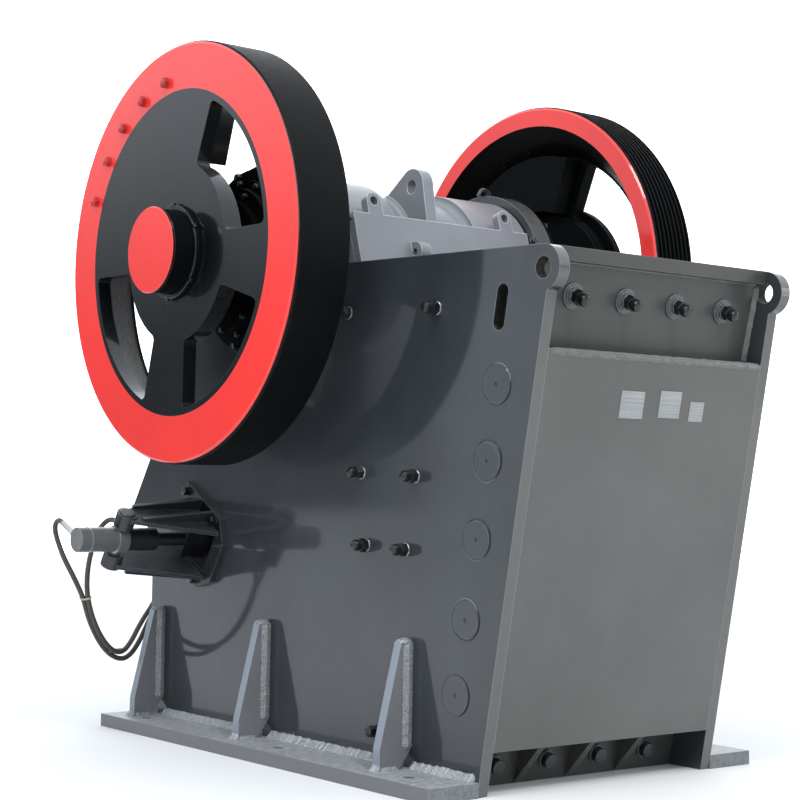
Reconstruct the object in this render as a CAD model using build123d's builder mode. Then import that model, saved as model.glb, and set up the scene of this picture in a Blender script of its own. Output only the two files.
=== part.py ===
"""Single-toggle jaw crusher with a fabricated frame, two heavy wheels and hydraulic setting wedges.

Axes: X across the machine, flywheel on the -X side, grooved sheave on the +X side;
Y from the front wall (-Y) to the rear beam (+Y); Z up from the floor.
Origin: centre of the rectangle of foot bolts, at floor level. All sizes in millimetres.
"""
from build123d import *
from math import cos, pi, radians, sin, tan
import os

os.makedirs("parts", exist_ok=True)

# Shaft axis
shaft_y = 238
shaft_z = 2011

# Side plates
outer_half = 605
plate_t = 48
inner_half = outer_half - plate_t
front_foot_y = -1133
front_lean = 10.2
lug_y = -1434
lug_z = 1859
lug_r = 83
lug_hole_r = 39
plate_top_z = 1968
saddle_side = 60
rear_lean = 33
nose_y = 1310
nose_z = 965
rear_post_y = 1121
slot_l = 167
slot_w = 60
slot_y = -1218
slot_z = 1735
plug_r = 72
plug_h = 4
plug_count = 5
plug_pitch = 284
plug_inset = 187
plug_low_z = 347

# Feet and their gussets
foot_reach = 231
foot_t = 55
foot_front_y = -1142
foot_rear_y = 1146
foot_hole_out = 134
foot_hole_x = outer_half + foot_hole_out
foot_hole_y = 915
foot_mid_y = -92
foot_hole_r = 22
gusset_t = 40
gusset_h = 463
gusset_top = 57
gusset_foot = 149
gusset_heel = 77
gusset_cope = 57
gusset_ys = (-762, 168, 998)

# Front wall, a box of two leaning plates
cover_t = 50
cover_low_z = 159
cover_top_z = 1583
wall_low_y = -962
wall_lean = 12.9
wall_t = 110
wall_top_z = 1942
wall_bolt_drop = 162
bar_h = 49
bar_t = 35
ledge_t = 40
rib_t = 30
rib_pitch = 262
bolt_hole_r = 26

# Crushing chamber
die_gap = 2
fixed_die_t = 112
die_low_z = 430
fixed_die_top_z = 1850
tooth_pitch = 76
tooth_crest = 30
tooth_depth = 32
cheek_t = 32
chamber_low_z = 470
chamber_top_z = 1870

# Swinging jaw; its front face leans on a plane set off from the shaft
jaw_lean = 16.3
jaw_top_z = 2200
barrel_r = 370
barrel_gap = 7
barrel_half = inner_half - barrel_gap
waist_depth = 37
waist_r = barrel_r - waist_depth
waist_left_x = -189
waist_right_x = 250
waist_fillet = 30
guard_t = 40
guard_pad = 31
jaw_side_gap = 50
jaw_half = inner_half - cheek_t - jaw_side_gap
moving_die_t = 112
moving_die_top_z = 1890
slab_t = 130
jaw_rib_t = 60
jaw_rib_inset = 50
jaw_rib_x = 145
jaw_rib_back = 40
heel_h = 190
heel_gap = 6
guard_top_z = 2150
eye_inset = 117
eye_r = 37
eye_hole_r = 20
eye_up = 58
small_lug_x = 172
small_lug_z = 2052
small_lug_r = 46
small_lug_t = 52
small_lug_out = 14
small_lug_hole_r = 16
jaw_lug_x = -62
jaw_lug_t = 56
jaw_lug_out = 82
jaw_lug_turn = 40.9
jaw_lug_r = 78
jaw_lug_hole_r = 30
jaw_lug_slope = 55
jaw_lug_back = 180

# Shaft and bearings
shaft_r = 125
shaft_fit = 0.05
journal_r = 170
journal_gap = 2
housing_r = 406
housing_t = 45
housing_bore = 20
cover_rings = ((50, 380), (27, 351), (25, 328), (42, 290), (30, 237))
cover_half = outer_half + housing_t + sum(wide for wide, radius in cover_rings)
seal_gap = 3

# Wheels
wheel_r = 850
wheel_gap = 46
hub_barrel_l = 190
hub_barrel_r = 215
hub_barrel_in = cover_half + wheel_gap
wheel_out = hub_barrel_in + hub_barrel_l
flywheel_w = 248
sheave_w = 232
face_ring_t = 12
face_ring_w = 192
face_ring_r = wheel_r - face_ring_w
back_ring_w = 90
back_ring_r = wheel_r - back_ring_w
ring_edge = 14
rim_edge = 6
web_t = 60
window_lip = 26
window_r = face_ring_r - window_lip
rim_root = 8
rim_root_r = window_r + rim_root
spoke_l = 267
hub_r = window_r - spoke_l
hub_step_t = 20
hub_step_in = 4
hub_sleeve_r = 168
hub_cap_r = 173
hub_cap_out = 119
hub_cap_x = wheel_out + hub_cap_out
hub_cap_t = 14
hub_cap_edge = 3
lock_ring_r = 190
lock_ring_t = 12
weight_t = 95
weight_gap = 8
weight_angles = (72, 120, 176)
groove_count = 8
groove_pitch = 25.5
groove_depth = 26
groove_top_w = 22
groove_low_w = 11
sheave_flange_lip = 37
sheave_flange_r = hub_r + sheave_flange_lip
sheave_flange_t = 34

# Wheel windows, set out from the shaft axis in Y and Z
window_corner_r = 24
spoke_half = 58
sector_from = 67.5
front_spoke = ((-351, -153), (-586, -224))
foot_spoke_y = -76
rear_spoke = ((151, -329), (206, -535))

# Toggle line: the thrust runs along it, up towards the rear
ram_y = 718
ram_z = 843
thrust_lean = 31
wedge_h = 150
wedge_t = 66
wedge_slope = 2.2
wedge_out = 95
wedge_half = outer_half + wedge_out
wedge_lag = 160
window_gap = 12
seat_t = 60
seat_lip = 6
seat_side = 20
toggle_len = 470
toggle_t = 62
toggle_inset = 35
toggle_half = jaw_half - toggle_inset
toggle_round_r = 38
toggle_set_in = 15
toe_gap = 19
beam_back = 520
beam_low = -185
beam_high = 400

# Setting rams and their brackets
ram_r = 52
ram_out = 609
ram_end_x = outer_half + ram_out
ram_edge = 3
collar_r = 60
collar_out = 407
collar_x = outer_half + collar_out
collar_w = 46
neck_l = 169
neck_r = 48
rod_r = 28
ring_inset = 57
ring_w = 7
ring_depth = 5
trunnion_r = 24
boss_r = 43
boss_in = 68
boss_out = 130
arm_t = 18
arm_in = 104
arm_root = 140
arm_rib_v = 50
arm_rib_t = 14
arm_rib_low = 16
arm_rib_high = 50
arm_rib_gap = 6
flange_t = 30
flange_v = 195
flange_u = 174
flange_cut = 80

# Tension rod with its spring, under the toggle
tie_z = 370
tie_r = 22
tie_nut_r = 44
tie_nut_l = 44
tie_washer_r = 82
tie_washer_t = 20
tie_lug_x = 0
tie_lug_t = 90
tie_lug_l = 100
tie_lug_r = 55
tie_swing_gap = 14
tie_beam_y = 820
tie_beam_t = 50
tie_beam_low_z = 260
tie_beam_top_z = 620
cup_r = 92
cup_wall = 10
cup_l = 90
spring_r = 66
spring_wire = 18
spring_l = 300
spring_travel = 24

# Hoses of the near ram, from its two ports down and back up behind the side plate;
# each point gives how far it is out from the side plate, then its Y and Z
hose_r = 11
port_r = 14
port_h = 8
port_end_in = 18
port_rod_in = 52
port_leans = {"hose_end": 23.5, "hose_rod": 31}
port_xs = {"hose_end": ram_end_x - port_end_in, "hose_rod": collar_x - port_rod_in}
ferrule_r = 13
ferrule_nut_l = 18
ferrule_l = 60
block_x = 67
block_cut_x = 29
block_cut_y = 49
block_front_y = 1085
block_rear_y = 1214
block_low_z = 534
block_top_z = 590
hose_points = {
    "hose_end": [
        (591, 865.6, 907.2), (591, 890.36, 917.97), (591, 917.3, 915.4), (589, 939.5, 900.1),
        (584, 951.5, 875.9), (573, 953, 838), (538, 955, 757), (484, 952, 666), (436, 957, 580),
        (403, 967, 487), (343, 984, 392), (275, 1011, 330), (200, 1038, 300), (135, 1072, 312),
        (75, 1106, 358), (27, 1130, 418), (0, 1140.5, 460), (-27, 1147, 500)],
    "hose_rod": [
        (355, 814, 900.7), (355, 841.43, 917.19), (358, 869, 923), (367, 895, 916), (381, 914, 894),
        (398, 925, 858), (413, 929, 805), (429, 930, 745), (437, 931, 670), (432, 932, 590),
        (397, 940, 487), (337, 957, 396), (267, 984, 342), (195, 1026, 334), (123, 1078, 378),
        (65, 1122, 432), (12, 1156, 478), (-37, 1179, 522)],
}

clear = 0.3


def place(part, name):
    """Label one finished piece and write it."""
    part.label = name
    export_step(part, f"parts/{name}.step")


def front_y(z, depth=0):
    """Y of the front plane at height z, moved back by a depth square to it."""
    return front_foot_y - z * tan(radians(front_lean)) + depth / cos(radians(front_lean))


def wall_y(z, depth=0):
    """Y of the fixed jaw wall's front face at height z, moved back by a depth square to it."""
    return wall_low_y - z * tan(radians(wall_lean)) + depth / cos(radians(wall_lean))


jaw_face = barrel_r + guard_pad + guard_t
jaw_top_y = shaft_y - (jaw_face - (jaw_top_z - shaft_z) * sin(radians(jaw_lean))) / cos(radians(jaw_lean))


def jaw_y(z, depth=0):
    """Y of the moving jaw's crushing face at height z, moved back by a depth square to it."""
    return jaw_top_y - (jaw_top_z - z) * tan(radians(jaw_lean)) + depth / cos(radians(jaw_lean))


def thrust(v, u):
    """Y and Z of a point v along the thrust line and u square to it, from the ram axis."""
    s, c = sin(radians(thrust_lean)), cos(radians(thrust_lean))
    return ram_y + v * c - u * s, ram_z + v * s + u * c


def across(x):
    """Plane square to X at x, its own x along Y and its own y along Z."""
    return Plane(origin=(x, 0, 0), x_dir=(0, 1, 0), z_dir=(1, 0, 0))


def slab(name, points, x0, x1):
    """Closed outline in Y and Z, drawn out from x0 to x1."""
    with BuildPart() as body:
        with BuildSketch(across(x0)):
            Polygon(*points, align=None)
        extrude(amount=x1 - x0)
    body.part.label = name
    return body.part


shaft_axis = Axis((0, shaft_y, shaft_z), (1, 0, 0))

# Side plates with lifting lug, wedge window, bearing seat and round cover discs
back_s = tan(radians(rear_lean))
saddle_y = housing_r + saddle_side
rear_shoulder_z = nose_z + (nose_y - shaft_y - saddle_y) / back_s
post_z = nose_z - (nose_y - rear_post_y) * back_s
plate_outline = [
    (front_y(0), 0),
    (front_y(lug_z), lug_z),
    (lug_y, lug_z + lug_r),
    (shaft_y - saddle_y, plate_top_z),
    (shaft_y + saddle_y, plate_top_z),
    (shaft_y + saddle_y, rear_shoulder_z),
    (nose_y, nose_z),
    (rear_post_y, post_z),
    (rear_post_y, 0),
]
window_u = wedge_h / 2 + window_gap
window = [thrust(-wedge_t - seat_t, -window_u), thrust(wedge_t + window_gap, -window_u),
          thrust(wedge_t + window_gap, window_u), thrust(-wedge_t - seat_t, window_u)]
slot_turn = 90 + front_lean

for side, x_out in (("left", -1), ("right", 1)):
    x_face = x_out * outer_half
    with BuildPart() as side_plate:
        with BuildSketch(across(x_face)):
            Polygon(*plate_outline, align=None)
            with Locations((lug_y, lug_z)):
                Circle(lug_r)
            with Locations((lug_y, lug_z)):
                Circle(lug_hole_r, mode=Mode.SUBTRACT)
            with Locations((slot_y, slot_z)):
                SlotOverall(slot_l, slot_w, rotation=slot_turn, mode=Mode.SUBTRACT)
            with Locations((shaft_y, shaft_z)):
                Circle(housing_r + clear, mode=Mode.SUBTRACT)
            Polygon(*window, align=None, mode=Mode.SUBTRACT)
        extrude(amount=-x_out * plate_t)
        with BuildSketch(across(x_face)):
            for i in range(plug_count):
                plug_z = plug_low_z + i * plug_pitch * cos(radians(front_lean))
                with Locations((front_y(plug_z, plug_inset), plug_z)):
                    Circle(plug_r)
        extrude(amount=x_out * plug_h)
    place(side_plate.part, f"side_plate_{side}")

    foot_out = outer_half + foot_reach
    with BuildPart() as foot:
        with BuildSketch(Plane.XY):
            with Locations((x_out * (outer_half + foot_out) / 2, (foot_front_y + foot_rear_y) / 2)):
                Rectangle(foot_reach, foot_rear_y - foot_front_y)
            with Locations(*[(x_out * foot_hole_x, y) for y in (-foot_hole_y, foot_mid_y, foot_hole_y)]):
                Circle(foot_hole_r, mode=Mode.SUBTRACT)
        extrude(amount=foot_t)
    place(foot.part, f"foot_{side}")

    with BuildPart() as gussets:
        for gusset_y in gusset_ys:
            gusset_plane = Plane(origin=(x_face, gusset_y, foot_t), x_dir=(x_out, 0, 0), z_dir=(0, -x_out, 0))
            with BuildSketch(gusset_plane):
                Polygon((0, gusset_heel), (gusset_cope, 0), (gusset_foot, 0), (gusset_foot, gusset_heel),
                        (gusset_top, gusset_h), (0, gusset_h), align=None)
            extrude(amount=-x_out * gusset_t)
    place(gussets.part, f"gussets_{side}")

# Front wall: outer cover plate, leaning jaw wall, top bar, ledge and ribs between the plates
cover = slab("front_wall_cover", [
    (front_y(cover_low_z), cover_low_z), (front_y(cover_low_z, cover_t), cover_low_z),
    (front_y(cover_top_z, cover_t), cover_top_z), (front_y(cover_top_z), cover_top_z)],
    -inner_half, inner_half)
place(cover, "front_wall_cover")

with BuildPart() as jaw_wall:
    with BuildSketch(across(-inner_half)):
        bar_low_z = wall_top_z - bar_h
        Polygon((wall_y(0), 0), (wall_y(0, wall_t), 0), (wall_y(wall_top_z, wall_t), wall_top_z),
                (wall_y(wall_top_z, -bar_t), wall_top_z), (wall_y(bar_low_z, -bar_t), bar_low_z),
                (wall_y(bar_low_z), bar_low_z), align=None)
    extrude(amount=2 * inner_half)
    for bolt_z in (cover_low_z / 2, wall_top_z - wall_bolt_drop):
        wall_plane = Plane(origin=(0, wall_y(bolt_z), bolt_z), x_dir=(1, 0, 0),
                           z_dir=(0, cos(radians(wall_lean)), sin(radians(wall_lean))))
        with BuildSketch(wall_plane):
            with GridLocations(rib_pitch, 1, 4, 1):
                Circle(bolt_hole_r)
        extrude(amount=wall_t, both=True, mode=Mode.SUBTRACT)
place(jaw_wall.part, "fixed_jaw_wall")

rib_top_z = cover_top_z - ledge_t
with BuildPart() as front_ribs:
    with BuildSketch(across(-inner_half)):
        Polygon((front_y(cover_top_z, cover_t), cover_top_z), (front_y(rib_top_z, cover_t), rib_top_z),
                (wall_y(rib_top_z), rib_top_z), (wall_y(cover_top_z), cover_top_z), align=None)
    extrude(amount=2 * inner_half)
    for i in (-1, 0, 1):
        with BuildSketch(across(i * rib_pitch - rib_t / 2)):
            Polygon((wall_y(0), 0), (front_y(cover_low_z, cover_t), cover_low_z),
                    (front_y(rib_top_z, cover_t), rib_top_z), (wall_y(rib_top_z), rib_top_z), align=None)
        extrude(amount=rib_t)
place(front_ribs.part, "front_ribs")


def leaning_die(name, width, low, high, y_of, thickness):
    """Jaw die standing on a leaning wall: its section slides along the wall's slope."""
    run = Vector(0, y_of(high) - y_of(low), high - low)
    toward = 1 if thickness > 0 else -1
    count = int(width // tooth_pitch)
    half = count * tooth_pitch / 2
    root = thickness - toward * tooth_depth
    flank = (tooth_pitch - tooth_crest) / 2
    points = [(-width / 2, 0), (-width / 2, root), (-half, root)]
    for i in range(count):
        x = -half + i * tooth_pitch
        points += [(x + flank, thickness), (x + tooth_pitch - flank, thickness), (x + tooth_pitch, root)]
    points += [(width / 2, root), (width / 2, 0)]
    with BuildPart() as die:
        with BuildSketch(Plane.XY.offset(low)):
            with BuildLine():
                Polyline(*[(x, y_of(low) + y) for x, y in points], close=True)
            make_face()
        extrude(amount=run.length, dir=run)
    die.part.label = name
    return die.part


cheek_half = inner_half - cheek_t - die_gap
fixed_die = leaning_die("fixed_jaw_die", 2 * cheek_half, die_low_z, fixed_die_top_z,
                        lambda z: wall_y(z, wall_t), fixed_die_t / cos(radians(wall_lean)))
place(fixed_die, "fixed_jaw_die")
moving_die = leaning_die("moving_jaw_die", 2 * jaw_half, die_low_z, moving_die_top_z,
                         lambda z: jaw_y(z, moving_die_t), -moving_die_t / cos(radians(jaw_lean)))
place(moving_die, "moving_jaw_die")

for side, x_out in (("left", -1), ("right", 1)):
    cheek = slab("cheek", [
        (wall_y(chamber_low_z, wall_t + die_gap), chamber_low_z),
        (jaw_y(chamber_low_z, moving_die_t), chamber_low_z),
        (jaw_y(chamber_top_z, moving_die_t), chamber_top_z),
        (wall_y(chamber_top_z, wall_t + die_gap), chamber_top_z)],
        x_out * inner_half, x_out * (inner_half - cheek_t))
    place(cheek, f"cheek_plate_{side}")

# Swinging jaw: bearing barrel, front slab, ribs and the heel that takes the toggle
slab_back = moving_die_t + slab_t
seat_v = -wedge_t - seat_t
pivot = thrust(seat_v - toggle_set_in, 0)
toe = thrust(seat_v - toggle_len, 0)
heel_low = thrust(seat_v - toggle_len - heel_gap, -heel_h / 2)
heel_top = thrust(seat_v - toggle_len - heel_gap, heel_h / 2)
heel_top_z = heel_top[1] + heel_h / 2
heel_root = (jaw_y(die_low_z, slab_back), die_low_z)
rib_meets = (shaft_y + barrel_r * cos(radians(jaw_rib_back)), shaft_z - barrel_r * sin(radians(jaw_rib_back)))
bore = journal_r + shaft_fit
with BuildPart() as barrel_whole:
    with BuildSketch(Plane(origin=(0, shaft_y, shaft_z), x_dir=(1, 0, 0), z_dir=(0, -1, 0))) as barrel_line:
        Polygon((-barrel_half, 0), (-barrel_half, barrel_r), (waist_left_x, barrel_r), (waist_left_x, waist_r),
                (waist_right_x, waist_r), (waist_right_x, barrel_r), (barrel_half, barrel_r), (barrel_half, 0),
                align=None)
        fillet(barrel_line.vertices().filter_by_position(Axis.Y, waist_r - clear, waist_r + clear), waist_fillet)
    revolve(axis=shaft_axis)
with BuildPart() as barrel:
    add(barrel_whole.part)
    with BuildSketch(across(-barrel_half)):
        with Locations((shaft_y, shaft_z)):
            Circle(bore)
    extrude(amount=2 * barrel_half, mode=Mode.SUBTRACT)
place(barrel.part, "jaw_barrel")

with BuildPart() as jaw_slab:
    with BuildSketch(across(-jaw_half)):
        Polygon((jaw_y(die_low_z, moving_die_t), die_low_z), heel_root, (jaw_y(shaft_z, slab_back), shaft_z),
                (jaw_y(guard_top_z, guard_t), guard_top_z), (jaw_y(moving_die_top_z, guard_t), moving_die_top_z),
                (jaw_y(moving_die_top_z, moving_die_t), moving_die_top_z), align=None)
    extrude(amount=2 * jaw_half)
    add(barrel_whole.part, mode=Mode.SUBTRACT)
place(jaw_slab.part, "jaw_slab")

with BuildPart() as jaw_ribs:
    for rib_x in (-jaw_half + jaw_rib_inset, -jaw_rib_x, jaw_rib_x, jaw_half - jaw_rib_inset):
        with BuildSketch(across(rib_x - jaw_rib_t / 2)):
            Polygon((jaw_y(heel_top_z, slab_back), heel_top_z), heel_top, rib_meets,
                    (jaw_y(shaft_z, slab_back), shaft_z), align=None)
        extrude(amount=jaw_rib_t)
    add(barrel_whole.part, mode=Mode.SUBTRACT)
place(jaw_ribs.part, "jaw_ribs")

with BuildPart() as jaw_heel:
    with BuildSketch(across(-jaw_half)):
        Polygon(heel_root, heel_low, heel_top, (jaw_y(heel_top_z, slab_back), heel_top_z), align=None)
        with Locations(toe):
            Circle(toggle_round_r + toe_gap, mode=Mode.SUBTRACT)
    extrude(amount=2 * jaw_half)
place(jaw_heel.part, "jaw_heel")

# Guard plate over the top of the moving die, with two eyes and two small lugs
guard_plane = Plane(origin=(0, jaw_y(jaw_top_z), jaw_top_z), x_dir=(1, 0, 0),
                    z_dir=(0, -cos(radians(jaw_lean)), sin(radians(jaw_lean))))
guard_l = (jaw_top_z - moving_die_top_z) / cos(radians(jaw_lean)) - guard_t * tan(radians(jaw_lean))
eye_x = jaw_half - eye_inset
small_lug_y = jaw_y(small_lug_z) - small_lug_out
with BuildPart() as guard:
    with BuildSketch(guard_plane):
        with Locations((0, -guard_l / 2)):
            Rectangle(2 * jaw_half, guard_l)
        for x in (-eye_x, eye_x):
            with Locations((x, eye_up / 2)):
                Rectangle(2 * eye_r, eye_up)
            with Locations((x, eye_up)):
                Circle(eye_r)
        for x in (-eye_x, eye_x):
            with Locations((x, eye_up)):
                Circle(eye_hole_r, mode=Mode.SUBTRACT)
    extrude(amount=-guard_t)
    for x in (-small_lug_x, small_lug_x):
        with BuildSketch(across(x - small_lug_t / 2)):
            with Locations((small_lug_y, small_lug_z)):
                Circle(small_lug_r)
            Polygon((small_lug_y, small_lug_z + small_lug_r), (small_lug_y, small_lug_z - small_lug_r),
                    (jaw_y(small_lug_z - small_lug_r, guard_t / 2), small_lug_z - small_lug_r),
                    (jaw_y(small_lug_z + small_lug_r, guard_t / 2), small_lug_z + small_lug_r), align=None)
            with Locations((small_lug_y, small_lug_z)):
                Circle(small_lug_hole_r, mode=Mode.SUBTRACT)
        extrude(amount=small_lug_t)
place(guard.part, "jaw_guard_plate")

# Lifting lug on top of the barrel
jaw_lug_y = shaft_y - (barrel_r + jaw_lug_out) * sin(radians(jaw_lug_turn))
jaw_lug_z = shaft_z + (barrel_r + jaw_lug_out) * cos(radians(jaw_lug_turn))
tangent_y = jaw_lug_y + jaw_lug_r * cos(radians(jaw_lug_slope))
tangent_z = jaw_lug_z + jaw_lug_r * sin(radians(jaw_lug_slope))
with BuildPart() as jaw_lug:
    with BuildSketch(across(jaw_lug_x - jaw_lug_t / 2)):
        with Locations((jaw_lug_y, jaw_lug_z)):
            Circle(jaw_lug_r)
        Polygon((jaw_lug_y - jaw_lug_r, jaw_lug_z), (jaw_y(jaw_top_z), jaw_top_z), (shaft_y, shaft_z),
                (tangent_y + jaw_lug_back * sin(radians(jaw_lug_slope)),
                 tangent_z - jaw_lug_back * cos(radians(jaw_lug_slope))), (tangent_y, tangent_z), align=None)
        with Locations((shaft_y, shaft_z)):
            Circle(waist_r, mode=Mode.SUBTRACT)
        with Locations((jaw_lug_y, jaw_lug_z)):
            Circle(jaw_lug_hole_r, mode=Mode.SUBTRACT)
        Polygon((jaw_y(jaw_top_z) - jaw_lug_r, jaw_top_z), (jaw_y(jaw_top_z), jaw_top_z),
                (jaw_y(jaw_top_z, guard_t), jaw_top_z), (jaw_y(jaw_top_z - guard_l, guard_t), jaw_top_z - guard_l),
                (jaw_y(jaw_top_z - guard_l) - jaw_lug_r, jaw_top_z - guard_l), align=None, mode=Mode.SUBTRACT)
    extrude(amount=jaw_lug_t)
place(jaw_lug.part, "jaw_lifting_lug")

# Shaft
with BuildPart() as shaft:
    with BuildSketch(across(-hub_cap_x + hub_cap_t)):
        with Locations((shaft_y, shaft_z)):
            Circle(shaft_r)
    extrude(amount=2 * (hub_cap_x - hub_cap_t))
    with BuildSketch(across(-inner_half + journal_gap)):
        with Locations((shaft_y, shaft_z)):
            Circle(journal_r)
    extrude(amount=2 * (inner_half - journal_gap))
place(shaft.part, "eccentric_shaft")


def turned(name, outline):
    """Solid of revolution about the shaft axis; the outline is in X and radius."""
    with BuildPart() as body:
        with BuildSketch(Plane(origin=(0, shaft_y, shaft_z), x_dir=(1, 0, 0), z_dir=(0, -1, 0))):
            Polygon(*outline, align=None)
        revolve(axis=shaft_axis)
    body.part.label = name
    return body.part


def ray_point(radius, angle):
    """Y and Z of a wheel point; the angle runs from the front, up and over to the rear."""
    return -radius * cos(radians(angle)), radius * sin(radians(angle))


# Wheels: rim, painted face rings, web with three windows, balance weight, hub and cap
far = 2 * wheel_r


def on_line(a, b, z):
    """Y of the line through a and b at height z."""
    return a[0] + (z - a[1]) * (b[0] - a[0]) / (b[1] - a[1])


(front_a, front_b) = front_spoke
front_slope = (front_b[1] - front_a[1]) / (front_b[0] - front_a[0])
front_meet_z = front_a[1] + front_slope * (foot_spoke_y - front_a[0])
sector_y = 1 / tan(radians(sector_from))
windows = [
    [(-spoke_half * sector_y, spoke_half), (-far, spoke_half), (-far, far), (-far * sector_y, far)],
    [(foot_spoke_y, front_meet_z), (-far, front_meet_z + front_slope * (-far - foot_spoke_y)), (-far, -far),
     (foot_spoke_y, -far)],
    [(on_line(*rear_spoke, -spoke_half), -spoke_half), (far, -spoke_half), (far, -far),
     (on_line(*rear_spoke, -far), -far)],
]


def flywheel_outline(x, wide):
    """Rim section from the outer face inward, with its flared inner side."""
    s = 1 if x > 0 else -1
    face = x - s * face_ring_t
    back = x - s * (wide - face_ring_t)
    return [(face, face_ring_r), (face, wheel_r - rim_edge), (face - s * rim_edge, wheel_r),
            (back + s * rim_edge, wheel_r), (back, wheel_r - rim_edge), (back, back_ring_r),
            (x - s * web_t, rim_root_r), (x - s * web_t, face_ring_r)]


def wheel_web(name, x):
    """Web disc with three rounded windows, flush with the face ring."""
    s = 1 if x > 0 else -1
    with BuildPart() as web:
        with BuildSketch(across(x)):
            with Locations((shaft_y, shaft_z)):
                Circle(face_ring_r)
            for outline in windows:
                with BuildSketch(across(x), mode=Mode.PRIVATE) as hole:
                    with Locations((shaft_y, shaft_z)):
                        Circle(window_r)
                        Circle(hub_r, mode=Mode.SUBTRACT)
                    Polygon(*[(shaft_y + y, shaft_z + z) for y, z in outline], align=None,
                            mode=Mode.INTERSECT)
                    fillet(hole.vertices(), window_corner_r)
                add(hole.sketch_local, mode=Mode.SUBTRACT)
            with Locations((shaft_y, shaft_z)):
                Circle(shaft_r + shaft_fit, mode=Mode.SUBTRACT)
        extrude(amount=-s * web_t)
    web.part.label = name
    return web.part


def balance_weight(name, x):
    """Sector plate behind the web's closed side."""
    s = 1 if x > 0 else -1
    with BuildPart() as weight:
        with BuildSketch(across(x - s * web_t)):
            with Locations((shaft_y, shaft_z)):
                Circle(window_r)
                Circle(hub_r + weight_gap, mode=Mode.SUBTRACT)
            corners = [ray_point(far, angle) for angle in weight_angles]
            Polygon((shaft_y, shaft_z), *[(shaft_y + y, shaft_z + z) for y, z in corners], align=None,
                    mode=Mode.INTERSECT)
        extrude(amount=-s * weight_t)
    weight.part.label = name
    return weight.part


for wheel, s, wide in (("flywheel", -1, flywheel_w), ("sheave", 1, sheave_w)):
    x = s * wheel_out
    rim_line = flywheel_outline(x, wide)
    if wheel == "sheave":
        back = x - s * (wide - face_ring_t)
        mid = (x - s * face_ring_t + back) / 2
        grooves = []
        for i in range(groove_count):
            g = mid + (groove_count / 2 - 0.5 - i) * groove_pitch
            grooves += [(g + groove_top_w / 2, wheel_r), (g + groove_low_w / 2, wheel_r - groove_depth),
                        (g - groove_low_w / 2, wheel_r - groove_depth), (g - groove_top_w / 2, wheel_r)]
        rim_line = rim_line[:3] + grooves + rim_line[3:]
    place(turned("rim", rim_line), f"{wheel}_rim")
    back = x - s * wide
    rings = (("face_ring", x, x - s * face_ring_t, face_ring_r),
             ("back_ring", back, back + s * face_ring_t, back_ring_r))
    for ring_name, outer, inner, inner_r in rings:
        edge_x = outer + (inner - outer) / 2
        place(turned("ring", [(outer, inner_r), (outer, wheel_r - ring_edge), (edge_x, wheel_r - rim_edge),
                              (inner, wheel_r - rim_edge), (inner, inner_r)]), f"{wheel}_{ring_name}")
    place(wheel_web("web", x), f"{wheel}_web")
    place(balance_weight("weight", x), f"{wheel}_weight")

    bore_r = shaft_r + shaft_fit
    web_in = x - s * web_t
    step_in = web_in - s * hub_step_t
    barrel_in = s * hub_barrel_in
    hub_line = [(web_in, bore_r), (web_in, hub_r - hub_step_in), (step_in, hub_r - hub_step_in),
                (step_in, hub_barrel_r), (barrel_in, hub_barrel_r), (barrel_in, bore_r)]
    place(turned("hub", hub_line), f"{wheel}_hub")

    flange_r, flange_out = (sheave_flange_r, sheave_flange_t) if wheel == "sheave" else (lock_ring_r, lock_ring_t)
    flange_x = x + s * flange_out
    cap_back = s * (hub_cap_x - hub_cap_t)
    sleeve_line = [(x, bore_r), (x, flange_r), (flange_x, flange_r), (flange_x, hub_sleeve_r),
                   (cap_back, hub_sleeve_r), (cap_back, bore_r)]
    place(turned("sleeve", sleeve_line), f"{wheel}_sleeve")
    cap_front = s * hub_cap_x
    cap_line = [(cap_back, 0), (cap_back, hub_cap_r), (cap_front - s * hub_cap_edge, hub_cap_r),
                (cap_front, hub_cap_r - hub_cap_edge), (cap_front, 0)]
    place(turned("cap", cap_line), f"{wheel}_cap")

# Bearing housings, set in the side plates, with stepped covers
for side, s in (("left", -1), ("right", 1)):
    housing_in = s * (inner_half + journal_gap)
    housing_out = s * (outer_half + housing_t)
    seat_x = s * outer_half
    wide_r = shaft_r + housing_bore
    line = [(housing_in, wide_r), (housing_in, housing_r), (housing_out, housing_r),
            (housing_out, shaft_r + shaft_fit), (seat_x, shaft_r + shaft_fit), (seat_x, wide_r)]
    place(turned("housing", line), f"bearing_housing_{side}")
    x = housing_out
    line = [(x, shaft_r + seal_gap)]
    for wide, radius in cover_rings:
        line += [(x, radius), (x + s * wide, radius)]
        x += s * wide
    line += [(x, shaft_r + seal_gap)]
    place(turned("cover", line), f"bearing_cover_{side}")

# Rear beam, tapered setting wedges, toggle seat and toggle plate, square to the thrust line
with BuildPart() as rear_beam:
    with BuildSketch(across(-inner_half)):
        Polygon(thrust(wedge_t, beam_low), thrust(beam_back, beam_low), thrust(beam_back, beam_high),
                thrust(wedge_t, beam_high), align=None)
    extrude(amount=2 * inner_half)
place(rear_beam.part, "rear_beam")

wedge_rise = tan(radians(wedge_slope))
wedge_plane = Plane(origin=(0, *thrust(0, -wedge_h / 2)), x_dir=(1, 0, 0),
                    z_dir=(0, -sin(radians(thrust_lean)), cos(radians(thrust_lean))))
wedges = (("rear", -wedge_half, wedge_half - wedge_lag, wedge_t),
          ("front", wedge_lag - wedge_half, wedge_half, -wedge_t))
for name, x0, x1, flat_v in wedges:
    with BuildPart() as wedge:
        with BuildSketch(wedge_plane):
            Polygon((x0, flat_v), (x1, flat_v), (x1, x1 * wedge_rise), (x0, x0 * wedge_rise), align=None)
        extrude(amount=wedge_h)
    place(wedge.part, f"setting_wedge_{name}")

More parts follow.
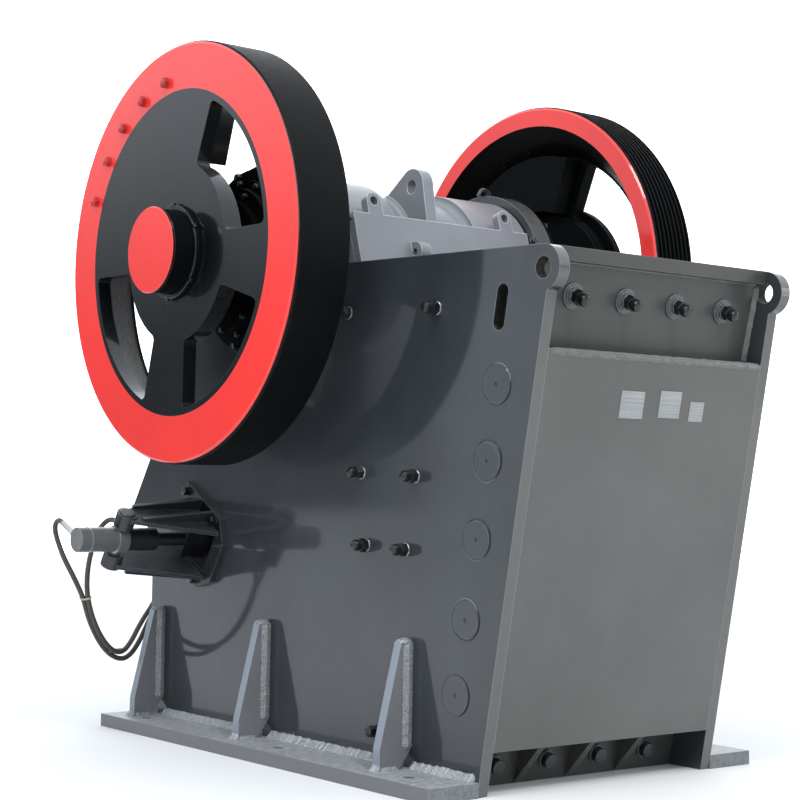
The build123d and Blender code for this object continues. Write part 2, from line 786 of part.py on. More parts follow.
with BuildPart() as seat:
    with BuildSketch(across(-toggle_half - seat_side)):
        Polygon(thrust(seat_v + seat_lip, -wedge_h / 2), thrust(-wedge_t, -wedge_h / 2),
                thrust(-wedge_t, wedge_h / 2), thrust(seat_v + seat_lip, wedge_h / 2), align=None)
        with Locations(pivot):
            Circle(toggle_round_r + clear, mode=Mode.SUBTRACT)
    extrude(amount=2 * (toggle_half + seat_side))
place(seat.part, "toggle_seat")

with BuildPart() as toggle:
    with BuildSketch(across(-toggle_half)):
        with Locations(pivot, toe):
            Circle(toggle_round_r)
        Polygon(thrust(seat_v - toggle_set_in, -toggle_t / 2), thrust(seat_v - toggle_set_in, toggle_t / 2),
                thrust(seat_v - toggle_len, toggle_t / 2), thrust(seat_v - toggle_len, -toggle_t / 2), align=None)
    extrude(amount=2 * toggle_half)
place(toggle.part, "toggle_plate")

# Setting rams on both sides: barrel, trunnion collar, neck and rod, each in a bracket of two arms
for side, s in (("left", -1), ("right", 1)):
    end_x = s * ram_end_x
    ring_out = s * (ram_end_x - ring_inset + ring_w)
    ring_in = s * (ram_end_x - ring_inset)
    collar_far = s * (collar_x + collar_w / 2)
    collar_near = s * (collar_x - collar_w / 2)
    neck_x = s * (collar_x - neck_l)
    rod_x = s * wedge_half
    with BuildPart() as ram:
        with BuildSketch(Plane(origin=(0, ram_y, ram_z), x_dir=(1, 0, 0), z_dir=(0, -1, 0))):
            Polygon((end_x, 0), (end_x, ram_r - ram_edge), (end_x - s * ram_edge, ram_r), (ring_out, ram_r),
                    (ring_out, ram_r - ring_depth), (ring_in, ram_r - ring_depth), (ring_in, ram_r),
                    (collar_far, ram_r), (collar_far, collar_r), (collar_near, collar_r), (collar_near, neck_r),
                    (neck_x, neck_r), (neck_x, rod_r), (rod_x, rod_r), (rod_x, 0), align=None)
        revolve(axis=Axis((0, ram_y, ram_z), (1, 0, 0)))
        pin_plane = Plane(origin=(s * collar_x, ram_y, ram_z), x_dir=(1, 0, 0),
                          z_dir=(0, -sin(radians(thrust_lean)), cos(radians(thrust_lean))))
        with BuildSketch(pin_plane):
            Circle(trunnion_r)
        extrude(amount=boss_in, both=True)
        for name, lean in port_leans.items():
            port_plane = Plane(origin=(s * port_xs[name], ram_y, ram_z), x_dir=(1, 0, 0),
                               z_dir=(0, cos(radians(lean)), sin(radians(lean))))
            with BuildSketch(port_plane):
                Circle(port_r)
            extrude(amount=ram_r + port_h)
    place(ram.part, f"setting_ram_{side}")

    with BuildPart() as bracket:
        with BuildSketch(across(s * outer_half)):
            Polygon(thrust(flange_v, -flange_u), thrust(flange_v, flange_u),
                    thrust(flange_cut - flange_v, flange_u), thrust(-flange_v, flange_u - flange_cut),
                    thrust(-flange_v, flange_cut - flange_u), thrust(flange_cut - flange_v, -flange_u),
                    align=None)
            Polygon(*window, align=None, mode=Mode.SUBTRACT)
        extrude(amount=s * flange_t)
        for up in (-1, 1):
            arm_plane = Plane(origin=(0, *thrust(0, up * arm_in)), x_dir=(1, 0, 0),
                              z_dir=(0, -up * sin(radians(thrust_lean)), up * cos(radians(thrust_lean))))
            root_x = s * (outer_half + flange_t)
            with BuildSketch(arm_plane):
                Polygon((root_x, -arm_root), (root_x, arm_root), (s * collar_x, boss_r), (s * collar_x, -boss_r),
                        align=None)
                with Locations((s * collar_x, 0)):
                    Circle(boss_r)
            extrude(amount=arm_t)
            with BuildSketch(arm_plane.offset(boss_in - arm_in)):
                with Locations((s * collar_x, 0)):
                    Circle(boss_r)
            extrude(amount=boss_out - boss_in)
            for across_v in (-1, 1):
                down = -s * up
                rib_plane = Plane(origin=(0, *thrust(across_v * arm_rib_v, up * (arm_in + arm_t))),
                                  x_dir=(s, 0, 0),
                                  z_dir=(0, down * cos(radians(thrust_lean)), down * sin(radians(thrust_lean))))
                rib_end_x = collar_x - boss_r - arm_rib_gap
                with BuildSketch(rib_plane):
                    Polygon((outer_half + flange_t, 0), (rib_end_x, 0), (rib_end_x, arm_rib_low),
                            (outer_half + flange_t, arm_rib_high), align=None)
                extrude(amount=arm_rib_t / 2, both=True)
    place(bracket.part, f"ram_bracket_{side}")

# Tension rod through the tie beam, with the spring between cup and washer
cup_y = tie_beam_y + tie_beam_t
spring_y = cup_y + spring_travel
washer_y = spring_y + spring_l


def round_y(radius, y0, y1):
    """Disc or bar about the tension rod, from y0 to y1."""
    with BuildPart() as body:
        with BuildSketch(Plane(origin=(tie_lug_x, y0, tie_z), x_dir=(1, 0, 0), z_dir=(0, 1, 0))):
            Circle(radius)
        extrude(amount=y1 - y0)
    return body.part


with BuildPart() as tie_beam:
    with BuildSketch(Plane(origin=(0, tie_beam_y, 0), x_dir=(1, 0, 0), z_dir=(0, -1, 0))):
        with Locations((0, (tie_beam_low_z + tie_beam_top_z) / 2)):
            Rectangle(2 * inner_half, tie_beam_top_z - tie_beam_low_z)
        with Locations((tie_lug_x, tie_z)):
            Circle(tie_r + tie_swing_gap, mode=Mode.SUBTRACT)
    extrude(amount=-tie_beam_t)
    with BuildSketch(Plane(origin=(tie_lug_x, cup_y, tie_z), x_dir=(1, 0, 0), z_dir=(0, 1, 0))):
        Circle(cup_r)
        Circle(cup_r - cup_wall, mode=Mode.SUBTRACT)
    extrude(amount=cup_l)
place(tie_beam.part, "tie_beam")

lug_rear_y = heel_low[0]
lug_front_y = lug_rear_y - tie_lug_l
lug_low_z = tie_z - tie_lug_r
heel_slope = (heel_low[1] - heel_root[1]) / (heel_low[0] - heel_root[0])
with BuildPart() as tie_rod:
    with BuildSketch(across(tie_lug_x - tie_lug_t / 2)):
        Polygon((lug_front_y, lug_low_z), (lug_rear_y, lug_low_z), heel_low,
                (lug_front_y, heel_low[1] - heel_slope * tie_lug_l), align=None)
    extrude(amount=tie_lug_t)
    add(round_y(tie_r, lug_rear_y, washer_y + tie_washer_t + tie_nut_l + tie_r))
    add(round_y(tie_washer_r, washer_y, washer_y + tie_washer_t))
    add(round_y(tie_nut_r, washer_y + tie_washer_t, washer_y + tie_washer_t + tie_nut_l))
place(tie_rod.part, "tension_rod")

with BuildPart() as spring:
    with BuildSketch(Plane(origin=(tie_lug_x, spring_y, tie_z), x_dir=(1, 0, 0), z_dir=(0, 1, 0))):
        Circle(spring_r)
        Circle(spring_r - spring_wire, mode=Mode.SUBTRACT)
    extrude(amount=spring_l)
place(spring.part, "tension_spring")

# Hoses of the near ram, with ferrules on its ports and a block behind the side plate


def bar(start, end, radius, sides=0):
    """Round bar, or one of so many sides, from start to end."""
    with BuildPart() as body:
        with BuildSketch(Plane(origin=start, x_dir=(1, 0, 0), z_dir=end - start)):
            if sides:
                RegularPolygon(radius, sides)
            else:
                Circle(radius)
        extrude(amount=(end - start).length)
    return body.part


def hose(name, points):
    """Round hose along straight runs joined by tangent arcs, each as large as its two runs allow."""
    radii = []
    for before, here, after in zip(points, points[1:], points[2:]):
        turn = (here - before).get_angle(after - here)
        shorter = min((here - before).length, (after - here).length)
        radii.append(0.45 * shorter / tan(radians(turn / 2)))
    with BuildPart() as tube:
        with BuildLine() as line:
            FilletPolyline(*points, radius=radii)
        with BuildSketch(Plane(origin=points[0], z_dir=points[1] - points[0])):
            Circle(hose_r)
        sweep(path=line.line)
    length = line.wire().length
    share = tube.part.volume / (pi * hose_r ** 2 * length)
    print(f"{name}: length {length:.0f}, volume {share:.4f} of section times length, radii", [round(r) for r in radii])
    return tube.part


hose_routes = {name: [Vector(-outer_half - out, y, z) for out, y, z in points]
               for name, points in hose_points.items()}
with BuildPart() as ferrules:
    for name, route in hose_routes.items():
        away = Vector(0, cos(radians(port_leans[name])), sin(radians(port_leans[name])))
        port = Vector(-port_xs[name], ram_y, ram_z) + away * (ram_r + port_h)
        add(bar(port, port + away * ferrule_nut_l, port_r, 6))
        add(bar(port + away * ferrule_nut_l, route[0], ferrule_r))
place(ferrules.part, "hose_ferrules")

with BuildPart() as block:
    with BuildSketch(Plane.XY.offset(block_low_z)):
        Polygon((-inner_half, block_front_y), (block_x - inner_half, block_front_y),
                (block_x - inner_half, block_rear_y), (block_cut_x - inner_half, block_rear_y),
                (-inner_half, block_rear_y - block_cut_y), align=None)
    extrude(amount=block_top_z - block_low_z)
    for route in hose_routes.values():
        onward = (route[-1] - route[-2]).normalized()
        add(bar(route[-1], route[-1] + onward * ferrule_l, ferrule_r))
place(block.part, "hose_block")

for name, route in hose_routes.items():
    place(hose(name, route), name)
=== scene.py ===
"""Dresses a jaw crusher: camera, hoses, paint, bolts, welds, spring, blank plates and a pale studio.

Every size is in millimetres in the part's own frame: X across the machine with the flywheel at -X,
Y from the front wall to the rear beam, Z up from the floor. mm() turns a place to metres.
"""
import math
import random

import bmesh
import bpy
from mathutils import Matrix, Vector, noise


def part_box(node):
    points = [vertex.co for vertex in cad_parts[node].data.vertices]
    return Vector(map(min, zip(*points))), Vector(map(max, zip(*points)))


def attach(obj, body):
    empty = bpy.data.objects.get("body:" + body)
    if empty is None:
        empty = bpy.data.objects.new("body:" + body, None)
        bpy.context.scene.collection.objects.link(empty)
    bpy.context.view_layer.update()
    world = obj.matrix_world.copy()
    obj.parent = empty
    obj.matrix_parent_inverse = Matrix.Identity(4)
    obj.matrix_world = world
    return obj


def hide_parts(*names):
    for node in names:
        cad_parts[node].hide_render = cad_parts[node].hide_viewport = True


bl_info = {
    "name": "Jaw Crusher Dressing",
    "version": (1, 0, 0),
    "blender": (4, 5, 0),
    "location": "3D View > Sidebar > Crusher",
    "description": "Paint, fasteners, welds, hoses and a studio for a jaw crusher",
    "category": "Object",
}

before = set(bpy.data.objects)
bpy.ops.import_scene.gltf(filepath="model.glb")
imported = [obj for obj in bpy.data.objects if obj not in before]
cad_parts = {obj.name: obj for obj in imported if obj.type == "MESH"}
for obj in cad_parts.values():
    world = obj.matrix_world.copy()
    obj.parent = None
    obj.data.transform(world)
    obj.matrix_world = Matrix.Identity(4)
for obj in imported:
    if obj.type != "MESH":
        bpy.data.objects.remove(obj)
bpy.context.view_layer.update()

# Camera, fitted to the photograph: degrees, and millimetres for its place and lens
CAMERA_AT = (-4826, -5968, 1132)
CAMERA_AZIMUTH = -38.469
CAMERA_ELEVATION = -2.411
CAMERA_ROLL = 1.058
CAMERA_LENS = 81.08
CAMERA_REACH_M = 100

# Main planes, centres and leans of the machine
SHAFT_Y, SHAFT_Z = 238, 2011
RAM_Y, RAM_Z, THRUST_LEAN = 718, 843, 31
PLATE_X, PLATE_T = 605, 48
INNER_X = PLATE_X - PLATE_T
WHEEL_X = 1060
FRONT_FOOT_Y, FRONT_LEAN = -1133, 10.2
WALL_FOOT_Y, WALL_LEAN = -962, 12.9

# Control points of the two hoses, from their ports down and up behind the side plate
HOSE_POINTS = {
    "hose_end_line": [
        (-1196, 865.6, 907.2), (-1196, 890.36, 917.97), (-1196, 917.3, 915.4), (-1194, 939.5, 900.1),
        (-1189, 951.5, 875.9), (-1178, 953, 838), (-1143, 955, 757), (-1089, 952, 666),
        (-1041, 957, 580), (-1008, 967, 487), (-948, 984, 392), (-880, 1011, 330), (-805, 1038, 300),
        (-740, 1072, 312), (-680, 1106, 358), (-632, 1130, 418), (-605, 1140.5, 460), (-578, 1147, 500)],
    "hose_rod_line": [
        (-960, 814, 900.7), (-960, 841.43, 917.19), (-963, 869, 923), (-972, 895, 916), (-986, 914, 894),
        (-1003, 925, 858), (-1018, 929, 805), (-1034, 930, 745), (-1042, 931, 670), (-1037, 932, 590),
        (-1002, 940, 487), (-942, 957, 396), (-872, 984, 342), (-800, 1026, 334), (-728, 1078, 378),
        (-670, 1122, 432), (-617, 1156, 478), (-568, 1179, 522)],
}
HOSE_NODES = {"hose_end_line": "hose_end", "hose_rod_line": "hose_rod"}
# Heights of the two cable ties in metres, and whether each sits on the falling part of the loop
TIES = ((0.585, True), (0.345, False))
TIE_R = 14

# Side plates: capped nuts and plug discs (Y and Z), lifting hole and long slot
CAP_NUT_PLACES = [(-865, 1752), (-320, 1767), (-425, 1142), (-757, 1131), (-464, 864), (-705, 857),
                  (-577, 170)]
PLUG_PLACES = [(-1204, 1462), (-1160, 1192), (-1108, 911), (-1056, 620), (-1007, 347)]
PLUG_PROUD = 4
LUG_Y, LUG_Z, LUG_HOLE_R = -1434, 1859, 39
SLOT_Y, SLOT_Z, SLOT_R, SLOT_STRAIGHT = -1218, 1735, 30, 107

# Front wall: bolts along X, their heights, the shift and droop of the upper ones, seam heights
WALL_BOLT_X = (-393, -131, 131, 393)
WALL_BOLT_Z, WALL_LOW_BOLT_Z = 1780, 79.5
WALL_BOLT_SHIFT, NUT_DROOP = -9, 9
COVER_TOP_Z, RECESS_LOW_Z, RECESS_HIGH_Z = 1574, 1583, 1893
RECESS_SIDES_Z = (1590, 1890)
# Blank plates on the cover: X, Z, width and height
BLANKS = ((-113, 1404, 120, 100), (85, 1412, 112, 100), (231, 1391, 76, 74))

# Gussets and feet: near edges, thicknesses, the foot welds' ends, and how far out and how high
# the welds round a gusset run
GUSSET_YS = (-762, 168, 998)
GUSSET_T, FOOT_T = 40, 55
FOOT_SPANS = ((-1128, -762), (-722, 168), (208, 998), (1038, 1118))
BAND_OUT, BAND_Z, BAND_WIDE = 22, (127, 514), 14
CREST_OUT, CREST_Z = 27, 517
SOLE_OUT = (60, 146)
TOE_OUT = 150

# Wheels: radius and angles of the face bolts, their nuts behind the web, and the lugs of the
# locking rings at the hubs
FACE_BOLT_R, FACE_BOLT_ANGLES = 708, (98, 113, 127.6, 142, 157.3)
WHEEL_NUT_X, WHEEL_NUT_R = WHEEL_X - 95, 690
RING_X = WHEEL_X + 12
RING_LUG_X, RING_LUG_R, RING_LUG_ANGLES = WHEEL_X + 10, 184, (88, 148, -97, -152, 28, -40)

# Bolt circles of a bearing cover: X, radius, count, first angle and the first head's turn
OUTER_CIRCLE = (700, 365.5, 12, 15, 15)
MIDDLE_CIRCLE = (752, 310, 16, 0, 0)
INNER_CIRCLE = (794, 263, 8, 22.5, 0)

# Jaw and housings: sides of the lifting lug, the barrel's waist, the fillets' angles, the
# housings' radius and the bows on them, the bolts that hold the cheek plates
LUG_X = (-90, -34)
WAIST_R, FILLET_ANGLES = 333, (22, 69)
HOUSING_R, BOW_X = 406, 578
CHEEK_BOLT, CHEEK_BOLT_AXIS = (500, -175, 2168), (0, -0.9, 0.4)

# Ram brackets: flange face and its bolts (v, u), trunnions (X, u), bands and collar on the tube
FLANGE_X, FLANGE_BOLTS = 635, ((165, 142), (-85, 150), (-90, -148), (150, -148))
TRUNNION_X, TRUNNION_U = 1012, 130
BAND_XS, COLLAR_X = (1159, 1162.5), 1035

# Tension spring: turns of the wire and steps in a turn
SPRING_TURNS, TURN_STEPS = 8, 26

# Studio, in metres: the floor's and the backdrop's half widths, the backdrop's distance and height
FLOOR_HALF, BACKDROP_HALF, BACKDROP_AWAY, BACKDROP_Z = 40, 11, 17, 8
# The air's colour, the heights over which it brightens (as sines), the band on the left where it
# is bright down to the floor, and its strengths
AIR_COLOUR = "#e6edf5"
AIR_CLIMB = (0.05, 0.26)
AIR_LEFT = (-0.60, -0.66)
AIR_LEFT_SHARE = 0.8
AIR_STRENGTH = (0.10, 1.5)
# Each soft light's place, target, width in metres, power in watts and colour
LIGHTS = [
    ("left_light", (-5200, -2500, 8600), (-605, 0, 1000), 2.6, 210, "#ffffff"),
    ("front_light", (6500, -5800, 2600), (0, -1200, 1000), 3.5, 70, "#fff8ee"),
    ("overhead_light", (-1400, -6200, 8200), (0, -1000, 1500), 1.6, 250, "#ffffff"),
]


def mm(x, y, z):
    """A place in metres from millimetres."""
    return Vector((x, y, z)) * 0.001


def linear(code):
    """Linear colour from an sRGB hex value."""
    channels = [int(code[i:i + 2], 16) / 255 for i in (1, 3, 5)]
    return tuple(c / 12.92 if c <= 0.04045 else ((c + 0.055) / 1.055) ** 2.4 for c in channels)


def front_y(z, depth=0):
    """Y of the front plane at height z, moved back by a depth square to it."""
    lean = math.radians(FRONT_LEAN)
    return FRONT_FOOT_Y - z * math.tan(lean) + depth / math.cos(lean)


def wall_y(z):
    """Y of the jaw wall's front face at height z."""
    return WALL_FOOT_Y - z * math.tan(math.radians(WALL_LEAN))


def thrust(v, u):
    """Y and Z of a point v along the thrust line and u square to it, from the ram's axis."""
    s, c = math.sin(math.radians(THRUST_LEAN)), math.cos(math.radians(THRUST_LEAN))
    return RAM_Y + v * c - u * s, RAM_Z + v * s + u * c


def up_lean(lean):
    """Way up a plane or axis that leans forward by some degrees."""
    return Vector((0, -math.sin(math.radians(lean)), math.cos(math.radians(lean))))


def off_lean(lean):
    """Way out of the front of a plane that leans forward by some degrees."""
    return Vector((0, -math.cos(math.radians(lean)), -math.sin(math.radians(lean))))


def on_shaft(x, radius, angle):
    """A place at a radius from the shaft; the angle runs from the front, over the top."""
    turn = math.radians(angle)
    return (x, SHAFT_Y - radius * math.cos(turn), SHAFT_Z + radius * math.sin(turn))


# Shapes, made once from bmesh operators and stamped where they are needed

def axes(x, y, z):
    """Turn whose columns are three square axes."""
    return Matrix((x, y, z)).transposed().to_4x4()


def along(axis):
    """Turn that lays local Z along an axis."""
    return Vector(axis).to_track_quat("Z", "Y").to_matrix().to_4x4()


def stand(place, axis, turn=0.0):
    """Matrix that stands a shape made on local Z at a place in mm, along an axis."""
    return (Matrix.Translation(mm(*place)) @ along(Vector(axis).normalized())
            @ Matrix.Rotation(math.radians(turn), 4, "Z"))


def both_sides(spots):
    """Stands at (x, y, z, turn) places that face outwards, on the left and then on the right."""
    return [stand((side * x, y, z), (side, 0, 0), turn)
            for side in (-1, 1) for x, y, z, turn in spots]


def as_mesh(bm, name="shape"):
    """Turns a bmesh into a mesh and frees it."""
    mesh = bpy.data.meshes.new(name)
    bm.to_mesh(mesh)
    bm.free()
    return mesh


def as_shape(bm):
    """Closes a bmesh into a mesh that can be stamped."""
    bmesh.ops.remove_doubles(bm, verts=bm.verts, dist=1e-5)
    bmesh.ops.recalc_face_normals(bm, faces=bm.faces)
    return as_mesh(bm)


def turned(profile, steps=24):
    """Solid of revolution about local Z from (radius, height) pairs in mm."""
    bm = bmesh.new()
    verts = [bm.verts.new((r * 0.001, 0, h * 0.001)) for r, h in profile]
    edges = [bm.edges.new(pair) for pair in zip(verts, verts[1:])]
    bmesh.ops.spin(bm, geom=verts + edges, axis=(0, 0, 1), angle=math.tau, steps=steps,
                   use_merge=True)
    return as_shape(bm)


def ring_turned(profile, steps=64):
    """Solid of revolution about local Z whose (radius, height) profile closes on itself."""
    return turned(list(profile) + [profile[0]], steps)


def drawn(outline, height, bevel=0.0, segments=2):
    """Flat outline in mm on local X and Y, drawn up by a height, its edges rounded."""
    bm = bmesh.new()
    face = bm.faces.new([bm.verts.new((x * 0.001, y * 0.001, 0)) for x, y in outline])
    made = bmesh.ops.extrude_face_region(bm, geom=[face])
    risen = [g for g in made["geom"] if isinstance(g, bmesh.types.BMVert)]
    bmesh.ops.translate(bm, verts=risen, vec=(0, 0, height * 0.001))
    bmesh.ops.recalc_face_normals(bm, faces=bm.faces)
    if bevel:
        bmesh.ops.bevel(bm, geom=list(bm.edges), offset=bevel * 0.001, affect="EDGES",
                        segments=segments, profile=0.5, material=-1)
    return as_shape(bm)


def hexagon(flats, low, high, chamfer=2.0):
    """Hexagon nut or bolt head between two heights, its corners chamfered."""
    bm = bmesh.new()
    radius = flats / math.sqrt(3) * 0.001
    made = bmesh.ops.create_cone(bm, cap_ends=True, segments=6, radius1=radius, radius2=radius,
                                 depth=(high - low) * 0.001)
    bmesh.ops.translate(bm, verts=made["verts"], vec=(0, 0, (high + low) / 2 * 0.001))
    top = [e for e in bm.edges if all(v.co.z > (high - 0.01) * 0.001 for v in e.verts)]
    bmesh.ops.bevel(bm, geom=top, offset=chamfer * 0.001, affect="EDGES", segments=2, profile=0.5,
                    material=-1)
    return as_shape(bm)


def joined(*shapes):
    """One shape from several that share their local axes."""
    bm = bmesh.new()
    for shape in shapes:
        bm.from_mesh(shape)
    return as_mesh(bm)


def bead(start, end, width, pitch=11, seed=0, flat=1.0, sides=8):
    """Weld bead in mm from start to end: a closed bar whose rings swell like laid ripples.

    Four sides give the flat face of a fillet weld in a square corner, eight a round bead.
    """
    a, b = mm(*start), mm(*end)
    length = (b - a).length
    steps = max(3, int(length * 1000 / pitch * 2))
    bm = bmesh.new()
    bmesh.ops.create_cone(bm, cap_ends=True, segments=sides, radius1=width * 0.0005,
                          radius2=width * 0.0005, depth=length)
    long_edges = [e for e in bm.edges if abs(e.verts[0].co.z - e.verts[1].co.z) > length / 2]
    bmesh.ops.subdivide_edges(bm, edges=long_edges, cuts=steps - 1, use_grid_fill=True)
    drift = random.Random(seed).uniform(0, 100)
    for vert in bm.verts:
        ripple = (vert.co.z / length + 0.5) * steps
        swell = 1 + (0.10 if int(round(ripple)) % 2 else -0.06)
        swell += 0.20 * noise.noise(Vector((ripple * 0.31, drift, vert.co.x * 60)))
        end_fade = min(1.0, 0.45 + min(ripple, steps - ripple) * 0.25)
        vert.co.x *= swell * end_fade * flat
        vert.co.y *= swell * end_fade
    bmesh.ops.recalc_face_normals(bm, faces=bm.faces)
    bmesh.ops.transform(bm, matrix=Matrix.Translation((a + b) / 2) @ along(b - a), verts=bm.verts)
    return as_mesh(bm)


def round_shaft(profile, start, end, steps=24):
    """Closed profile of (x, radius) pairs in mm, swept round the shaft between two angles."""
    bm = bmesh.new()
    first = [mm(*on_shaft(x, radius, start)) for x, radius in profile]
    face = bm.faces.new([bm.verts.new(point) for point in first])
    bmesh.ops.spin(bm, geom=[face], cent=mm(0, SHAFT_Y, SHAFT_Z), axis=(1, 0, 0),
                   angle=math.radians(start - end), steps=steps)
    return as_shape(bm)


def lifting_bow(radius, wire):
    """Half ring whose two feet stand on local Z = 0, in mm."""
    bm = bmesh.new()
    made = bmesh.ops.create_circle(bm, cap_ends=True, segments=14, radius=wire * 0.001)
    bmesh.ops.translate(bm, verts=made["verts"], vec=(radius * 0.001, 0, 0))
    bmesh.ops.spin(bm, geom=list(bm.faces), axis=(0, 1, 0), angle=-math.pi, steps=24)
    return as_shape(bm)


def in_scene(name, data):
    """A new object in the scene."""
    made = bpy.data.objects.new(name, data)
    bpy.context.scene.collection.objects.link(made)
    return made


def add_piece(name, stamps, finish, body="frame", smooth=35):
    """A piece of the crusher: shapes stamped at places, given a finish and a body to ride on."""
    bm = bmesh.new()
    for shape, places in stamps:
        for place in places:
            first = len(bm.verts)
            bm.from_mesh(shape)
            bm.verts.ensure_lookup_table()
            bmesh.ops.transform(bm, matrix=place, verts=bm.verts[first:])
    mesh = as_mesh(bm, name)
    mesh.materials.append(finish)
    for face in mesh.polygons:
        face.use_smooth = True
    mesh.set_sharp_from_angle(angle=math.radians(smooth))
    piece = in_scene(name, mesh)
    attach(piece, body)
    return piece


def laid(shapes):
    """Shapes that were made where they lie, as stamps."""
    return [(shape, [Matrix.Identity(4)]) for shape in shapes]


# Finishes. Each finish's edge colour, laid on its rounded edges, is a painted highlight

def add_node(tree, kind, inputs=None, **settings):
    """Adds a node; an input is a number, a colour or another node's output."""
    made = tree.nodes.new(kind)
    for name, value in settings.items():
        setattr(made, name, value)
    for name, value in (inputs or {}).items():
        if isinstance(value, bpy.types.NodeSocket):
            tree.links.new(value, made.inputs[name])
        else:
            made.inputs[name].default_value = value
    return made


def colour4(code):
    """Linear RGBA from an sRGB hex value or a linear triple."""
    return (*(linear(code) if isinstance(code, str) else code), 1.0)


def shade(paint, factor):
    """One of the user's paints, made darker or paler."""
    return tuple(min(1.0, c * factor) for c in getattr(bpy.context.scene.crusher_colours, paint))


def laid_over(tree, colour, paint, value, start=0.0, end=1.0, most=1.0):
    """Colour output with a paint laid over it, more and more as a value runs from start to end."""
    share = add_node(tree, "ShaderNodeMapRange", {"Value": value, "From Min": start, "From Max": end,
                                                  "To Max": most}).outputs["Result"]
    return add_node(tree, "ShaderNodeMix", {6: colour, 7: colour4(paint), 0: share},
                    data_type="RGBA").outputs[2]


def surface(name, dark, light, edge, roughness, metallic=0.0, cloud=1.6, grain=150.0, grain_mm=0.25,
            wave=9.0, wave_mm=0.6, dust=0.0, coat=0.0, edge_mm=4.0, edge_highlight_share=0.6, streak=0.0,
            specular=0.5, stretch=(1, 1, 1), dust_code="#a09c94", other=None, inner_painted_shade=None):
    """Material with clouded colour, edges paler as a painted highlight, settled dust and a rippled skin,
    all in object space.

    cloud, wave and grain count their cells in a metre. other gives the faces that look another way
    their own colour: the normal's axis, where along it the change starts and ends, and the colour.
    The inside colour goes on what lies nearer than some millimetres to the machine's middle, as a painted
    shade.
    """
    material = bpy.data.materials.get(name)
    if material:
        return material
    material = bpy.data.materials.new(name)
    material.use_nodes = True
    tree = material.node_tree
    tree.nodes.clear()
    place = add_node(tree, "ShaderNodeTexCoord").outputs["Object"]
    spread = add_node(tree, "ShaderNodeMapping", {"Vector": place, "Scale": stretch}).outputs["Vector"]
    clouds = add_node(tree, "ShaderNodeTexNoise",
                      {"Vector": spread, "Scale": cloud, "Detail": 5.0, "Roughness": 0.6}).outputs["Fac"]
    colour = laid_over(tree, colour4(dark), light, clouds, 0.35, 0.65)
    if streak:
        runs = add_node(tree, "ShaderNodeMapping", {"Vector": place, "Scale": (14, 14, 0.9)})
        run = add_node(tree, "ShaderNodeTexNoise",
                       {"Vector": runs.outputs["Vector"], "Scale": 1.0, "Detail": 4.0}).outputs["Fac"]
        colour = laid_over(tree, colour, light, run, 0.45, 0.75, streak)
    flat_normal = add_node(tree, "ShaderNodeNewGeometry").outputs["Normal"]
    if other or dust:
        facing = add_node(tree, "ShaderNodeSeparateXYZ", {"Vector": flat_normal}).outputs
    if other:
        axis, start, end, code = other
        turned_to = add_node(tree, "ShaderNodeMath", {0: facing[axis]}, operation="ABSOLUTE").outputs[0]
        colour = laid_over(tree, colour, code, turned_to, start, end)
    # The inside colour, nearer the middle than some millimetres, is a painted shade
    if inner_painted_shade:
        reach, code = inner_painted_shade
        out = add_node(tree, "ShaderNodeSeparateXYZ", {"Vector": place}).outputs["X"]
        out = add_node(tree, "ShaderNodeMath", {0: out}, operation="ABSOLUTE").outputs[0]
        near = add_node(tree, "ShaderNodeMath", {0: out, 1: reach * 0.001}, operation="LESS_THAN")
        colour = laid_over(tree, colour, code, near.outputs[0])
    # The edge colour goes where the rounded normal parts from the flat one: a painted highlight on edges
    round_normal = add_node(tree, "ShaderNodeBevel", {"Radius": edge_mm * 0.001},
                            samples=4).outputs["Normal"]
    edge_highlight_mask = add_node(tree, "ShaderNodeVectorMath", {0: flat_normal, 1: round_normal},
                     operation="DOT_PRODUCT").outputs["Value"]
    colour = laid_over(tree, colour, edge, edge_highlight_mask, 0.995, 0.90, edge_highlight_share)
    speckle = add_node(tree, "ShaderNodeTexNoise",
                       {"Vector": place, "Scale": 38.0, "Detail": 6.0, "Roughness": 0.7}).outputs["Fac"]
    if dust:
        lying, patchy = (add_node(tree, "ShaderNodeMapRange", {"Value": value, "From Min": start,
                                                               "From Max": end}).outputs["Result"]
                         for value, start, end in ((facing["Z"], 0.35, 0.95), (speckle, 0.3, 0.7)))
        settled = add_node(tree, "ShaderNodeMath", {0: lying, 1: patchy}, operation="MULTIPLY").outputs[0]
        colour = laid_over(tree, colour, dust_code, settled, most=dust)
    rough = add_node(tree, "ShaderNodeMapRange", {"Value": speckle, "From Min": 0.25, "From Max": 0.75,
                                                  "To Min": roughness * 0.82,
                                                  "To Max": min(1.0, roughness * 1.2)}).outputs["Result"]
    skin = round_normal
    for scale, detail, rise_mm in ((wave, 2.0, wave_mm), (grain, 3.0, grain_mm)):
        height = add_node(tree, "ShaderNodeTexNoise", {"Vector": place, "Scale": scale, "Detail": detail})
        skin = add_node(tree, "ShaderNodeBump", {"Height": height.outputs["Fac"], "Strength": 1.0,
                                                 "Distance": rise_mm * 0.001,
                                                 "Normal": skin}).outputs["Normal"]
    shader = add_node(tree, "ShaderNodeBsdfPrincipled",
                      {"Base Color": colour, "Roughness": rough, "Metallic": metallic, "Normal": skin,
                       "Specular IOR Level": specular, "Coat Weight": coat, "Coat Roughness": 0.07})
    add_node(tree, "ShaderNodeOutputMaterial", {"Surface": shader.outputs["BSDF"]})
    return material


def plate_enamel():
    """Semi-gloss slate enamel sprayed on rolled plate: soft clouds, faint runs and a fine peel."""
    return surface("plate_enamel", shade("plate", 0.8), shade("plate", 1.2), "#9aa4ab", 0.4, coat=1.0,
                   streak=0.25, dust=0.35, edge_mm=5.0, specular=0.15,
                   other=("Y", 0.6, 0.9, shade("wall", 1.0)))


def plug_enamel():
    """The side plates' enamel over the plugs' seams, which show only by their shading."""
    return surface("plug_enamel", shade("plate", 0.75), shade("plate", 1.1), "#5d656b", 0.4, coat=1.0,
                   edge_mm=1.0, edge_highlight_share=0.3, specular=0.15)


